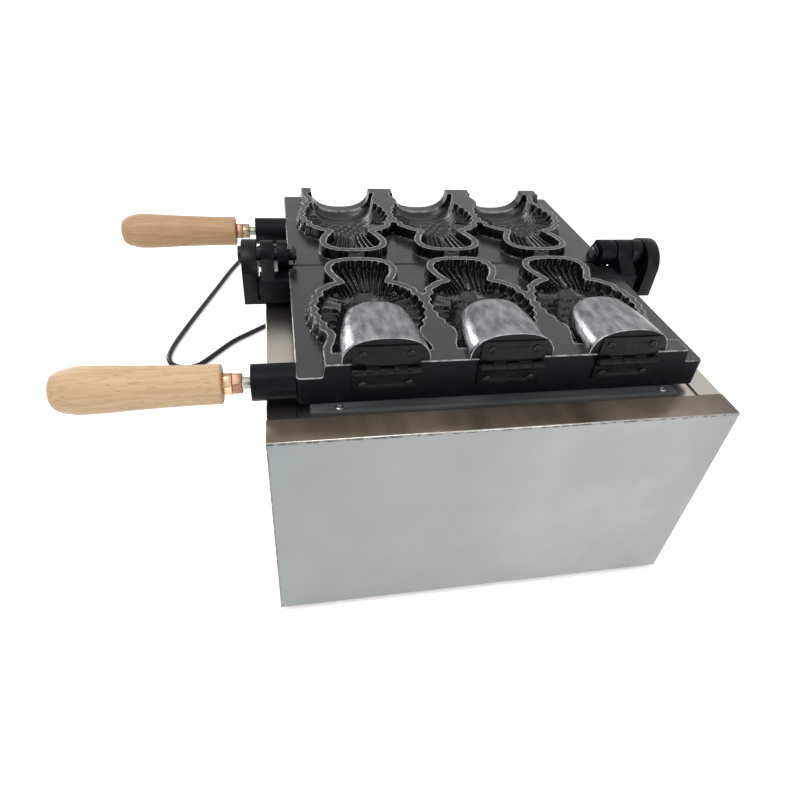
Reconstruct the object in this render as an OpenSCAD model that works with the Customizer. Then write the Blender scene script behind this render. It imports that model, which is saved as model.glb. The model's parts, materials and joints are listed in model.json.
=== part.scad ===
// Three-fish open-mouth taiyaki maker: a sheet steel cabinet with two cast mould plates on one hinge line.
// Millimetres. X runs along the hinge line, Y towards the back and Z up. Inside the modules X = 0 is the
// middle of the cabinet, Y = 0 its front face and Z = 0 the table; centred() moves that to the final origin.

/* [Cabinet] */
// Width of the cabinet
cabinet_w = 340; // [338:1:346]
// Depth of the cabinet
cabinet_d = 358; // [356:1:364]
// Height of the cabinet without its feet
cabinet_h = 185; // [180:1:200]
// Thickness of the sheet steel
sheet_t = 1.2; // [1:0.1:1.5]
// Height of the rubber feet
foot_h = 5; // [4:1:10]
// Depth of the front panel's folded top edge
front_fold = 23; // [20:1:23]
// Width of the side panels' folded top edges
side_fold = 20; // [18:1:20]

/* [Mould plates] */
// Width of a mould plate
plate_w = 298; // [296:1:298]
// Depth of a mould plate from its outer edge to the hinge line
plate_d = 163; // [162:1:164]
// Thickness of a plate's slab
slab_t = 22; // [21:0.5:23]
// Height of the raised rims round the fish
rim_h = 10; // [9:0.5:11]
// Width of the rims
rim_w = 6; // [5:0.5:7]
// Distance between two fish
fish_pitch = 87; // [86:0.5:88]
// Depth of a fish's body below the parting plane
body_depth = 27; // [25:0.5:28]
// Depth of the fins and the tail below the parting plane
fin_depth = 9; // [7:0.5:11]
// Number of ribs in the tail's fan
tail_ribs = 8; // [6:2:10]
// Number of scallops along each fin, with a ray between each two
fin_rays = 6; // [4:1:7]

/* [Hinge] */
// Distance of the hinge line behind the front face
hinge_y = 196; // [196:1:197]
// Diameter of the hinge pins
pin_d = 10; // [8:0.5:11]
// Outer radius of the knuckles
knuckle_r = 11.5; // [11:0.5:12]
// Radius of the round top of the brackets
bracket_r = 22; // [20:1:23]

/* [Mouth cores] */
// Width of a core at the mouth
core_w = 60; // [58:1:60]
// Length of a core
core_len = 61; // [56:1:64]
// Height of a core above the parting plane
core_rise = 19.5; // [18:0.5:20]
// Depth of a core below the parting plane
core_drop = 14; // [12:0.5:16]

/* [Handles] */
// Length of the wooden grips
grip_len = 106; // [95:1:120]
// Largest diameter of the grips
grip_d = 31; // [28:0.5:34]
// Diameter of the bosses that hold the handle studs
boss_d = 25; // [22:0.5:26]
// Distance of the front handle behind the front face
front_handle_y = 46; // [46:1:60]
// Distance of the rear handle behind the front face
rear_handle_y = 294; // [280:1:310]

/* [Controls] */
// Diameter of the temperature and timer knobs
knob_d = 36; // [30:1:40]
// Height of the knobs' shafts above the table
knob_z = 105; // [95:1:115]
// Distance between two knobs
knob_pitch = 94; // [80:1:100]

/* [Cord] */
// Diameter of the mains cord
cord_d = 6.5; // [6:0.1:7]
// Turns in the put-away coil
coil_turns = 3; // [2:1:4]
// Diameter of the coil's outer turn
coil_d = 84; // [78:1:88]

/* [Hidden] */

round_fn = 48;
sheet_gap = 0.05;
cabinet_top = foot_h + cabinet_h;
frame_top = cabinet_top - sheet_t;
bar_t = 4.2;
slab_z = frame_top + bar_t;
slab_top = slab_z + slab_t;
parting_z = slab_top + rim_h;
rim_gap = 0.15;
block_left = 40.5;
block_right = 49;
fill_len = 74;
plate_gap = 0.3;
plate_front = hinge_y - plate_d;
corner_r = 3;
wall_t = 14;
fish_shift = -3;
fish_x = [for (k = [-1:1]) fish_shift + k * fish_pitch];

foot_flange = 14;
foot_x = 148;
foot_inset = 26;
bar_w = 17;
bar_len = 272;
bar_shift = -4.5;
bar_front = front_fold + 1;
bar_rear = 2 * hinge_y - plate_front - 12 - bar_w;
bar_screw_x = 121;
bar_screw_in = 4.5;
bar_screw_r = 1.45;
window_x = 138;
rib_half = 14;

left_bracket = [-187, -175];
right_bracket = [179, 191];
left_front_knuckle = [-171.5, -161];
left_rear_knuckle = [-158, -147];
right_front_knuckle = [152, 166];
right_rear_knuckle = [136, 150.5];
spacer_x = [167, 178];
left_pin = [-187, -142];
right_pin = [131, 191];
pin_head_t = 3;
pin_head_r = 7.5;
clip_t = 1.5;
bore_play = 0.05;
ear_y = 167;
ear_bottom = cabinet_top + 5.5;
foot_t = 4;

stud_d = 8;
nut_t = 6.5;
nut_af = 13;
boss_len = 36;
boss_end = -plate_w / 2 - boss_len + 1;
grip_x = boss_end - 2 * nut_t;
handle_z = slab_z + slab_t / 2;

leaf_t = 1.5;
leaf_gap = 0.02;
leaf_w = 46;
barrel_d = 6;
barrel_y = plate_front - barrel_d / 2 - 0.1;
barrel_z = parting_z - 5;
leaf_pin_d = 3;
leaf_up = 19;
leaf_down = 16;
leaf_screw_x = 16;
leaf_screw_up = 13;
leaf_screw_down = 11;
core_step = wall_t + 1;

tray_floor = 150;
tray_x = 150;
tray_y = [40, 344];
heater_d = 8;
heater_z = 178;
heater_run = 34;
heater_half = 118;
saddle_half = 1.5 * heater_run + 9;
wall_x = cabinet_w / 2;
timer_y = 179;
knob_ys = [timer_y - knob_pitch, timer_y, timer_y + knob_pitch];
knob_stand = 1.5;
knob_h = 17;
shaft_d = 6;
rocker_x = -wall_x + 4;
rocker_y = timer_y;
rocker_z = 52;
rocker_w = 19;
rocker_h = 13;
lamp_z = 152;

gland_x = -110;
gland_z = 45;
gland_len = 34;
cord_sides = 10;
cord_z = cord_d / 2 + 0.15;
coil_sides = 6;
coil_pitch = cord_d + 0.8;
coil_r = coil_d / 2 - cord_d / 2;
coil_x = -166;
coil_y = 650;
coil_rings = 24;
coil_start = 135;
coil_stub = cord_d;
plug_y = 697;
plug_x = -98;
plug_w = 36;
plug_h = 22;
plug_body = 37;
plug_neck = 14;
plug_pin_d = 4.8;
plug_pin_len = 19;
plug_pin_pitch = 19;

handle_end = grip_x - grip_len;
origin_x = (handle_end + right_pin[1] + pin_head_t) / 2;
origin_y = (2 * hinge_y - plate_front) / 2;

// Moves a piece from the cabinet's frame to the origin under the middle of the whole object
module centred() {
    translate([-origin_x, -origin_y, 0]) children();
}

// Mirrors the front half onto the rear half, about the hinge line
module to_rear() {
    translate([0, 2 * hinge_y, 0]) mirror([0, 1, 0]) children();
}

// A cylinder along X between two stations of a span
module rod_x(span, y, z, r) {
    translate([span[0], y, z]) rotate([0, 90, 0]) cylinder(r = r, h = span[1] - span[0], $fn = round_fn);
}

// A cylinder along Y from a front face
module rod_y(x, y, z, r, h) {
    translate([x, y, z]) rotate([-90, 0, 0]) cylinder(r = r, h = h, $fn = round_fn);
}

// A plate in the XY plane with rounded corners, from one corner to the other
module rounded_plate(from, to, r, z, h) {
    translate([0, 0, z]) linear_extrude(h) rounded_rect(from, to, r);
}

module rounded_rect(from, to, r) {
    hull() for (x = [from[0] + r, to[0] - r], y = [from[1] + r, to[1] - r])
        translate([x, y]) circle(r = r, $fn = 32);
}

// An upright slot with round ends, between two centres
module slot(a, b, r) {
    for (c = [a, b]) translate(c) circle(r = r, $fn = round_fn);
    translate([a[0] - r, a[1]]) square([2 * r, b[1] - a[1]]);
}

// A profile in the YZ plane, drawn as [y, z], extruded along X over a span
module extrude_x(span) {
    translate([span[0], 0, 0]) rotate([90, 0, 90]) linear_extrude(span[1] - span[0]) children();
}

// A profile in the XZ plane, drawn as [x, z], extruded towards the back
module extrude_y(y, h) {
    translate([0, y + h, 0]) rotate([90, 0, 0]) linear_extrude(h) children();
}

// Point at share t of stretch k on a smooth curve through the points p
function smooth_at(p, k, t) = let (a = p[max(k - 1, 0)], b = p[k], c = p[k + 1],
    d = p[min(k + 2, len(p) - 1)])
    0.5 * (2 * b + (c - a) * t + (2 * a - 5 * b + 4 * c - d) * t * t + (3 * b - a - 3 * c + d) * t * t * t);

function smooth_curve(p, steps) = concat([for (k = [0:len(p) - 2], i = [0:steps - 1])
    smooth_at(p, k, i / steps)], [p[len(p) - 1]]);

// A closed solid through rings of equally many points
module skin(rings) {
    n = len(rings[0]);
    m = len(rings);
    sides = [for (i = [0:m - 2], j = [0:n - 1]) let (a = i * n + j, b = i * n + (j + 1) % n)
        each [[a, b, b + n], [a, b + n, a + n]]];
    polyhedron([for (r = rings) each r], concat(sides, [[for (j = [n - 1:-1:0]) j]],
        [[for (j = [0:n - 1]) (m - 1) * n + j]]));
}

// Point of a flattened oval at an angle: fuller than an ellipse, as the cores are
function oval(a, b, angle) = let (c = cos(angle), s = sin(angle), e = 2 / 2.4)
    [a * sign(c) * pow(abs(c), e), b * sign(s) * pow(abs(s), e)];

// Cabinet

// Bent sheet as [y, z]: a wall with a flange at its foot and one at its top, rounded outside the bends
module bent_sheet(low, high) {
    difference() {
        hull() {
            for (z = [foot_h + sheet_t, cabinet_top - sheet_t]) translate([sheet_t, z])
                circle(r = sheet_t, $fn = 32);
            translate([sheet_t, foot_h]) square([high - sheet_t, cabinet_h]);
        }
        translate([sheet_t, foot_h + sheet_t]) square([high, cabinet_h - 2 * sheet_t]);
        translate([low, foot_h - 1]) square([high, cabinet_h / 2]);
    }
}

module front_panel() {
    color("#c3cfcd") centred() extrude_x([-wall_x, wall_x]) bent_sheet(foot_flange, front_fold);
}

// Side wall with its top edge folded in double; side is -1 for the left wall and 1 for the right
module side_panel(side) {
    y0 = sheet_t + sheet_gap;
    len_y = cabinet_d - 2 * y0;
    mirror([side > 0 ? 1 : 0, 0, 0]) {
        difference() {
            translate([-cabinet_w / 2, y0, foot_h + sheet_t]) cube([sheet_t, len_y, cabinet_h - 2 * sheet_t]);
            children();
        }
        extrude_y(front_fold, cabinet_d - y0 - front_fold) intersection() {
            translate([-wall_x, frame_top]) square([side_fold, sheet_t]);
            union() {
                translate([-wall_x + sheet_t, frame_top]) circle(r = sheet_t, $fn = 32);
                translate([-wall_x + sheet_t, frame_top]) square([side_fold, sheet_t]);
            }
        }
        translate([-cabinet_w / 2, y0, frame_top - sheet_t]) cube([side_fold, len_y, sheet_t]);
    }
}

module left_side_panel() {
    color("#c9cccb") centred() side_panel(-1) louvres();
}

// The wall with the controls
module right_side_panel() {
    color("#c9cccb") centred() side_panel(1) {
        for (y = knob_ys) rod_x([-wall_x - 1, -wall_x + 3], y, knob_z, shaft_d / 2 + 0.5);
        for (y = [knob_ys[0], knob_ys[2]]) rod_x([-wall_x - 1, -wall_x + 3], y, lamp_z, 5);
        translate([-wall_x - 1, rocker_y - rocker_w / 2, rocker_z - rocker_h / 2])
            cube([4, rocker_w, rocker_h]);
    }
}

// Slots that let the heat out of a side wall
module louvres() {
    for (y = [90:24:282]) extrude_x([-wall_x - 1, -wall_x + 3]) slot([y, 64], [y, 124], 2.5);
}

module rear_panel() {
    color("#c9cccb") centred() difference() {
        union() {
            translate([-cabinet_w / 2, cabinet_d - sheet_t, foot_h]) cube([cabinet_w, sheet_t, cabinet_h]);
            translate([-cabinet_w / 2, cabinet_d - foot_flange, foot_h])
                cube([cabinet_w, foot_flange, sheet_t]);
        }
        for (x = [-20:20:140]) extrude_y(cabinet_d - 4, 8) slot([x, 64], [x, 124], 2.5);
        rod_y(gland_x, cabinet_d - 4, gland_z, 6, 8);
    }
}

module base_plate() {
    inset = sheet_t + sheet_gap;
    color("#b4b8b7") centred() difference() {
        translate([-wall_x + inset, inset, foot_h + sheet_t])
            cube([cabinet_w - 2 * inset, cabinet_d - 2 * inset, sheet_t]);
        for (x = [-105:30:105], y = [110:46:248]) translate([0, 0, foot_h]) linear_extrude(4)
            slot([x, y - 10], [x, y + 10], 3);
    }
}

// Four rubber feet, a cone each with a flat sole, under the base plate
module rubber_feet() {
    color("#26272a") centred() for (x = [-foot_x, foot_x], y = [foot_inset, cabinet_d - foot_inset])
        translate([x, y, 0]) rotate_extrude($fn = round_fn)
            polygon([[0, 0], [8, 0], [9.5, 1.5], [10.5, foot_h + sheet_t], [0, foot_h + sheet_t]]);
}

// Inner top sheet with a window under each plate
module top_frame() {
    inset = side_fold + sheet_gap;
    color("#bfc3c2") centred() difference() {
        translate([-wall_x + inset, sheet_t + sheet_gap, frame_top - sheet_t])
            cube([cabinet_w - 2 * inset, cabinet_d - 2 * (sheet_t + sheet_gap), sheet_t]);
        for (y = [[plate_front + 13, hinge_y - rib_half], [hinge_y + rib_half, bar_rear - 3]])
            rounded_plate([-window_x, y[0]], [window_x, y[1]], 8, frame_top - 4, 8);
    }
}

// Flat bar under a plate's outer edge, with its screw holes along one side
module rest_bar(y, holes_y) {
    difference() {
        translate([bar_shift - bar_len / 2, y, frame_top]) cube([bar_len, bar_w, bar_t]);
        for (x = [-bar_screw_x, bar_screw_x]) translate([x, holes_y, frame_top - 1])
            cylinder(r = bar_screw_r + bore_play, h = bar_t + 2, $fn = round_fn);
        children();
    }
}

module front_rest_bar() {
    color("#8d9a97") centred() rest_bar(bar_front, bar_front + bar_screw_in);
}

// The rear plate lies over this bar's holes, which are countersunk
module rear_rest_bar() {
    color("#8d9a97") centred() rest_bar(bar_rear, bar_rear + bar_w - bar_screw_in) {
        for (x = [-bar_screw_x, bar_screw_x]) translate([x, bar_rear + bar_w - bar_screw_in, frame_top])
            rotate_extrude($fn = round_fn) polygon([[0, bar_t - 1.65], [bar_screw_r, bar_t - 1.65],
                [3.1, bar_t + 0.01], [0, bar_t + 0.01]]);
    }
}

// Pan-head screws in the front bar and countersunk ones in the rear bar
module rest_bar_screws() {
    pan_head = [[2.9, bar_t], [2.6, bar_t + 1.2], [0, bar_t + 1.6]];
    sunk_head = [[bar_screw_r, bar_t - 1.6], [2.95, bar_t - 0.1], [0, bar_t - 0.1]];
    color("#d7d9da") centred() for (x = [-bar_screw_x, bar_screw_x]) {
        translate([x, bar_front + bar_screw_in, frame_top]) rotate_extrude($fn = round_fn)
            polygon(concat([[0, 0], [bar_screw_r, 0], [bar_screw_r, bar_t]], pan_head));
        translate([x, bar_rear + bar_w - bar_screw_in, frame_top]) rotate_extrude($fn = round_fn)
            polygon(concat([[0, 0], [bar_screw_r, 0]], sunk_head));
    }
}

// Hinge

// Upright of a bracket: round on top, straight down to its foot
module bracket_profile() {
    centre_z = parting_z - 10;
    hull() {
        translate([hinge_y, centre_z]) circle(r = bracket_r, $fn = 96);
        translate([hinge_y - bracket_r, cabinet_top]) square([2 * bracket_r, 4]);
    }
}

module hinge_bracket(span, foot_in, foot_screws) {
    foot = [min(span[0], foot_in), max(span[1], foot_in)];
    difference() {
        union() {
            extrude_x(span) bracket_profile();
            translate([foot[0], hinge_y - bracket_r, cabinet_top])
                cube([foot[1] - foot[0], 2 * bracket_r, foot_t]);
        }
        rod_x([span[0] - 1, span[1] + 1], hinge_y, parting_z, pin_d / 2 + 0.01);
        for (x = foot_screws, y = [hinge_y - 13, hinge_y + 13]) translate([x, y, cabinet_top]) {
            translate([0, 0, -1]) cylinder(r = 2, h = foot_t + 2, $fn = round_fn);
        }
    }
}

module left_hinge_bracket() {
    color("#1d1e21") centred() hinge_bracket(left_bracket, -wall_x + side_fold - 1, [-wall_x + 9]);
}

module right_hinge_bracket() {
    color("#1d1e21") centred() hinge_bracket(right_bracket, wall_x - side_fold + 1, [wall_x - 9]);
}

// Screws that hold the brackets' feet, with low heads that clear the plates' ears
module bracket_screws() {
    color("#8b8d90") centred() for (x = [-wall_x + 9, wall_x - 9], y = [hinge_y - 13, hinge_y + 13])
        translate([x, y, cabinet_top - sheet_t]) rotate_extrude($fn = round_fn)
            polygon([[0, sheet_t], [1.95, sheet_t], [1.95, sheet_t + foot_t], [3.5, sheet_t + foot_t],
                [3.2, sheet_t + foot_t + 0.8], [0, sheet_t + foot_t + 1]]);
}

// Pin with its head outside the bracket and a clip in its groove at the inner end
module hinge_pin(span, head_side) {
    head = head_side < 0 ? [span[0] - pin_head_t, span[0]] : [span[1], span[1] + pin_head_t];
    clip = head_side < 0 ? [span[1] - 3, span[1] - 3 + clip_t] : [span[0] + 3 - clip_t, span[0] + 3];
    rod_x(span, hinge_y, parting_z, pin_d / 2);
    rod_x(head, hinge_y, parting_z, pin_head_r);
    difference() {
        rod_x(clip, hinge_y, parting_z, pin_d / 2 + 2.5);
        translate([clip[0] - 1, hinge_y - 2, parting_z - 20]) cube([clip_t + 2, 4, 20]);
    }
}

module left_hinge_pin() {
    color("#b9bcbf") centred() hinge_pin(left_pin, -1);
}

module right_hinge_pin() {
    color("#b9bcbf") centred() hinge_pin(right_pin, 1);
}

// Distance collar between the front plate's right knuckle and the bracket
module hinge_spacer() {
    color("#17181a") centred() difference() {
        rod_x(spacer_x, hinge_y, parting_z, knuckle_r);
        rod_x([spacer_x[0] - 1, spacer_x[1] + 1], hinge_y, parting_z, pin_d / 2 + bore_play);
    }
}

// Fish mould

// Right half of the cavity's edge as [half width, distance from the mouth], from the mouth to the tail's tip
edge_points = [[34.5, wall_t], [34, 20], [31.5, 28], [30, 36], [32, 44], [35.5, 54], [38, 62], [39, 72],
    [38.5, 82], [34.5, 92], [31, 100], [25.5, 106], [18, 109.5], [16, 113], [18.5, 119], [21.5, 126],
    [24, 135], [22, 143.5], [18.5, 146.8], [14, 149], [7.5, 150.2], [0, 150.5]];
edge_steps = 5;
edge_curve = smooth_curve(edge_points, edge_steps);

fin_from = 42;
fin_len = 60;
fin_wave = 2;
tail_s = 98;
fan_len = 54;
fan_from = 120;
tail_wave = 0.8;

// Half width of the tail's fan at a distance from the mouth, widening towards its edge
function fan_half(s) = let (run = max(s - 104, 0)) 15.5 + 0.16 * run + 0.0042 * run * run;

// Scallops of the edge at one of its points, between the fins' rays and between the tail's ribs
function wave_at(p) = p[1] > fin_from && p[1] < fin_from + fin_len
    ? [fin_wave * abs(sin(180 * (p[1] - fin_from) * fin_rays / fin_len)), 0]
    : p[1] < fan_from ? [0, 0]
    : tail_wave * abs(cos(90 * (tail_ribs + 1) * p[0] / fan_half(p[1]))) * unit(p - [0, tail_s]);

// Number of the edge's point that is nearest to a distance from the mouth, looking on from point i
function nearest_edge(s, i) = edge_curve[i][1] >= s ? i : nearest_edge(s, i + 1);

edge_half = [for (p = edge_curve) p + wave_at(p)];

module fish_edge() {
    polygon(concat(edge_half, [for (i = [len(edge_half) - 2:-1:0]) [-edge_half[i][0], edge_half[i][1]]]));
}

// Fish's body as [distance from the mouth, half width, depth]: rounded at the mouth, narrow at the tail
body_stations = [[wall_t, 34, 0.8], [20, 33.5, 0.96], [28, 31, 1], [36, 29.5, 1], [50, 29.5, 0.98],
    [66, 28, 0.92], [80, 24, 0.8], [92, 18.5, 0.6], [102, 13, 0.42], [110, 7, 0.34]];
body_columns = 16;

body_rings = smooth_curve(body_stations, 2);

// Cross-section of the body's cutter at a station: a full oval below the parting plane
function body_ring(st) = concat([for (j = [0:body_columns]) let (p = oval(st[1], st[2] * body_depth,
    180 + 180 * j / body_columns)) [p[0], st[0], p[1]]], [[st[1], st[0], 1], [-st[1], st[0], 1]]);

module fish_body_cut() {
    skin([for (st = body_rings) body_ring(st)]);
}

// One fish, in a frame with the mouth at Y = 0 and the parting plane at Z = 0
module fish_cut() {
    translate([0, 0, -fin_depth]) linear_extrude(fin_depth + 1) fish_edge();
    fish_body_cut();
}

rib_h = 2.4;

// Curved rib of the fan at a share of its half width, thicker towards the edge
module tail_rib(share) {
    steps = 9;
    side = function (k, way) let (s = tail_s + fan_len * k / steps)
        [share * fan_half(s) + way * (0.5 + 0.9 * k / steps), s];
    polygon(concat([for (k = [0:steps]) side(k, 1)], [for (k = [steps:-1:0]) side(k, -1)]));
}

// Ray between two scallops of a fin, square to the edge there
module fin_ray(k) {
    i = nearest_edge(fin_from + fin_len * k / fin_rays, 0);
    at = edge_curve[i];
    along = unit(edge_curve[i + 1] - edge_curve[i - 1]);
    translate(at) rotate(atan2(along[1], along[0]) + 90)
        polygon([[-2, -1.4], [16, -0.6], [16, 0.6], [-2, 1.4]]);
}

// Ribs of the tail's fan and rays of the fins, standing on the shallow floor round the body
module fish_ribs() {
    translate([0, 0, -fin_depth - 0.2]) linear_extrude(rib_h + 0.2) difference() {
        intersection() {
            offset(delta = 0.3) fish_edge();
            union() {
                for (k = [0:tail_ribs - 1]) tail_rib((2 * k - tail_ribs + 1) / (tail_ribs + 1));
                for (m = [0, 1], k = [0:fin_rays]) mirror([m, 0]) fin_ray(k);
            }
        }
        polygon(concat([for (st = body_rings) [st[1] + 0.3, st[0]]],
            [for (k = [len(body_rings) - 1:-1:0]) [-body_rings[k][1] - 0.3, body_rings[k][0]]]));
    }
}

// Places one copy for each fish, in the front plate's half of the frame
module each_fish() {
    for (x = fish_x) translate([x, plate_front, parting_z]) children();
}

// Rims: the edges of all the fish widened by the rim's width, the wall across the mouths and the land
// that fills the room between two neighbours' heads
module rims() {
    translate([0, 0, slab_top - 1]) linear_extrude(rim_h + 1 - rim_gap) {
        intersection() {
            union() {
                offset(delta = rim_w) for (x = fish_x) translate([x, plate_front]) fish_edge();
                translate([fish_x[0] - block_left, plate_front])
                    square([fish_x[2] - fish_x[0] + block_left + block_right, wall_t + 1]);
                for (k = [0, 1]) translate([fish_x[k], plate_front]) square([fish_pitch, fill_len]);
            }
            translate([-plate_w / 2, plate_front]) square([plate_w, plate_d - 6]);
        }
    }
}

// Slab with the rims, before any cavity is cut
module plate_blank() {
    rounded_plate([-plate_w / 2, plate_front], [plate_w / 2, hinge_y - plate_gap], corner_r, slab_z, slab_t);
    rims();
}

// Half-oval channel that lets the upper half of a core through the wall at the mouth
module mouth_arch() {
    rotate([-90, 0, 0]) translate([0, 0, -2]) linear_extrude(wall_t + 4)
        polygon(concat([for (j = [0:20]) oval(core_w / 2 + 0.6, core_rise + 0.6, 9 * j)],
            [[-core_w / 2 - 0.6, -1], [core_w / 2 + 0.6, -1]]));
}

// Arm and block that join a knuckle to the side of the slab
module knuckle_arm(span, block) {
    rod_x(span, hinge_y, parting_z, knuckle_r);
    extrude_x(span) polygon([[hinge_y - knuckle_r, parting_z + 1], [ear_y + 2, slab_top],
        [ear_y + 2, ear_bottom], [hinge_y - 8, ear_bottom], [hinge_y - plate_gap, slab_top - 6],
        [hinge_y - plate_gap, parting_z]]);
    translate([block[0], ear_y, ear_bottom]) cube([block[1] - block[0], 18, slab_top - ear_bottom]);
}

module pin_bore(span) {
    rod_x([span[0] - 1, span[1] + 1], hinge_y, parting_z, pin_d / 2 + bore_play);
}

// Cylindrical boss that takes a handle's stud
module handle_boss(y) {
    difference() {
        rod_x([boss_end, -plate_w / 2 + 4], y, handle_z, boss_d / 2);
        rod_x([boss_end - 1, boss_end + 22], y, handle_z, stud_d / 2 + 0.02);
    }
}

// Front plate's casting
module front_plate() {
    color("#232429") centred() {
        difference() {
            union() {
                plate_blank();
                knuckle_arm(left_front_knuckle, [left_front_knuckle[0] - 1.5, -plate_w / 2 + 2]);
                knuckle_arm(right_front_knuckle, [plate_w / 2 - 2, right_front_knuckle[1]]);
            }
            each_fish() fish_cut();
            for (span = [left_front_knuckle, right_front_knuckle]) pin_bore(span);
            for (span = [left_rear_knuckle, right_rear_knuckle])
                rod_x([span[0] - 1, span[1] + 1], hinge_y, parting_z, knuckle_r + 1);
        }
        each_fish() fish_ribs();
        handle_boss(front_handle_y);
    }
}

// Rear plate's casting, the front one's mirror image with an arch over each core
module rear_plate() {
    color("#232429") centred() {
        difference() {
            union() {
                to_rear() plate_blank();
                to_rear() knuckle_arm(left_rear_knuckle, [left_rear_knuckle[0], -plate_w / 2 + 2]);
                to_rear() knuckle_arm(right_rear_knuckle, right_rear_knuckle);
            }
            to_rear() each_fish() fish_cut();
            to_rear() each_fish() mouth_arch();
            for (span = [left_rear_knuckle, right_rear_knuckle]) pin_bore(span);
        }
        to_rear() each_fish() fish_ribs();
        handle_boss(rear_handle_y);
    }
}

// Handles

// Stud from the boss into the grip
module handle_stud(y) {
    rod_x([grip_x - 28, boss_end + 20], y, handle_z, stud_d / 2);
}

// Two hexagon nuts locked against each other between boss and grip
module handle_nuts(y) {
    for (k = [0, 1]) translate([boss_end - (k + 1) * nut_t + 0.05, y, handle_z]) rotate([k * 14, 0, 0])
        rotate([0, 90, 0]) difference() {
            cylinder(d = nut_af / cos(30), h = nut_t - 0.1, $fn = 6);
            translate([0, 0, -1]) cylinder(d = stud_d + 0.04, h = nut_t + 2, $fn = round_fn);
        }
}

// Turned beech grip: a flat shoulder at the nuts, swelling towards a round end
module handle_grip(y) {
    r = grip_d / 2;
    n = grip_len;
    points = smooth_curve([[r * 0.8, 0], [r * 0.86, 2], [r * 0.87, n * 0.2], [r * 0.92, n * 0.45],
        [r, n * 0.72], [r * 0.98, n * 0.86], [r * 0.72, n * 0.965], [0, n]], 4);
    profile = [for (p = points) [p[0], min(p[1], n)]];
    translate([grip_x, y, handle_z]) rotate([0, -90, 0]) difference() {
        rotate_extrude($fn = 64) polygon(concat([[0, 0]], profile));
        translate([0, 0, -1]) cylinder(d = stud_d + 0.04, h = 30, $fn = round_fn);
    }
}

module front_handle_stud() {
    color("#c9c3b4") centred() handle_stud(front_handle_y);
}

module rear_handle_stud() {
    color("#c9c3b4") centred() handle_stud(rear_handle_y);
}

module front_handle_nuts() {
    color("#c2a04f") centred() handle_nuts(front_handle_y);
}

module rear_handle_nuts() {
    color("#c2a04f") centred() handle_nuts(rear_handle_y);
}

module front_handle_grip() {
    color("#dcb98d") centred() handle_grip(front_handle_y);
}

module rear_handle_grip() {
    color("#dcb98d") centred() handle_grip(rear_handle_y);
}

// Mouth cores

// Ring of a core: s is the distance from its front face
core_sides = 28;
core_taper = 9;
function core_ring(s) = let (f = s / core_len, w = core_w / 2 - core_taper * f * f,
    e = s < core_len - 12 ? 1 : sqrt(1 - pow((s - core_len + 12) / 12.6, 2)),
    up = (core_rise - 4 * f) * (0.5 + 0.5 * e), down = (core_drop - 3 * f) * (0.5 + 0.5 * e))
    [for (j = [0:core_sides - 1]) let (p = oval(w * (0.45 + 0.55 * e), 1, 360 * j / core_sides))
        [p[0], s, p[1] > 0 ? p[1] * up : p[1] * down]];
core_stations = concat([0, 14, 28, 38], [for (back = [12, 8, 5, 2.5, 1, 0]) core_len - back]);

// Solid core: the whole oval inside the cavity, its upper half alone over the front wall
module core(k) {
    translate([fish_x[k], plate_front, parting_z]) difference() {
        skin([for (s = core_stations) core_ring(s)]);
        translate([-core_w, -1, -40]) cube([2 * core_w, 1 + core_step, 40]);
    }
}

module left_core() {
    color("#d4d5d7") centred() core(0);
}

module middle_core() {
    color("#d4d5d7") centred() core(1);
}

module right_core() {
    color("#d4d5d7") centred() core(2);
}

// Leaf of a butt hinge with its knuckles; shares lists the knuckles' ends as shares of the leaf's width
module leaf(k, up, shares) {
    x0 = fish_x[k] - leaf_w / 2;
    clear = barrel_d / 2 + 0.2;
    z = up ? barrel_z + clear : barrel_z - leaf_down;
    h = (up ? leaf_up : leaf_down) - clear;
    screw_z = up ? barrel_z + leaf_screw_up : barrel_z - leaf_screw_down;
    difference() {
        union() {
            translate([x0, plate_front - leaf_t, z]) cube([leaf_w, leaf_t - leaf_gap, h]);
            for (s = shares) {
                span = [x0 + leaf_w * s[0] + 0.1, x0 + leaf_w * s[1] - 0.1];
                rod_x(span, barrel_y, barrel_z, barrel_d / 2);
                translate([span[0], barrel_y, up ? barrel_z : barrel_z - clear - 0.5])
                    cube([span[1] - span[0], plate_front - leaf_gap - barrel_y, clear + 0.5]);
            }
        }
        for (s = shares) rod_x([x0 + leaf_w * s[0] - 1, x0 + leaf_w * s[1] + 1], barrel_y, barrel_z,
            leaf_pin_d / 2 + bore_play);
        for (x = [-leaf_screw_x, leaf_screw_x])
            rod_y(fish_x[k] + x, plate_front - 3, screw_z, 1.6, 6);
    }
}

core_shares = [[0.2, 0.4], [0.6, 0.8]];
plate_shares = [[0, 0.2], [0.4, 0.6], [0.8, 1]];

module left_core_leaf() {
    color("#1b1c1f") centred() leaf(0, true, core_shares);
}

module middle_core_leaf() {
    color("#1b1c1f") centred() leaf(1, true, core_shares);
}

module right_core_leaf() {
    color("#1b1c1f") centred() leaf(2, true, core_shares);
}

module left_plate_leaf() {
    color("#1b1c1f") centred() leaf(0, false, plate_shares);
}

module middle_plate_leaf() {
    color("#1b1c1f") centred() leaf(1, false, plate_shares);
}

module right_plate_leaf() {
    color("#1b1c1f") centred() leaf(2, false, plate_shares);
}

module leaf_pin(k) {
    rod_x([fish_x[k] - leaf_w / 2 - 0.4, fish_x[k] + leaf_w / 2 + 0.4], barrel_y, barrel_z, leaf_pin_d / 2);
}

module left_leaf_pin() {
    color("#4a4b4e") centred() leaf_pin(0);
}

module middle_leaf_pin() {
    color("#4a4b4e") centred() leaf_pin(1);
}

module right_leaf_pin() {
    color("#4a4b4e") centred() leaf_pin(2);
}

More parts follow.
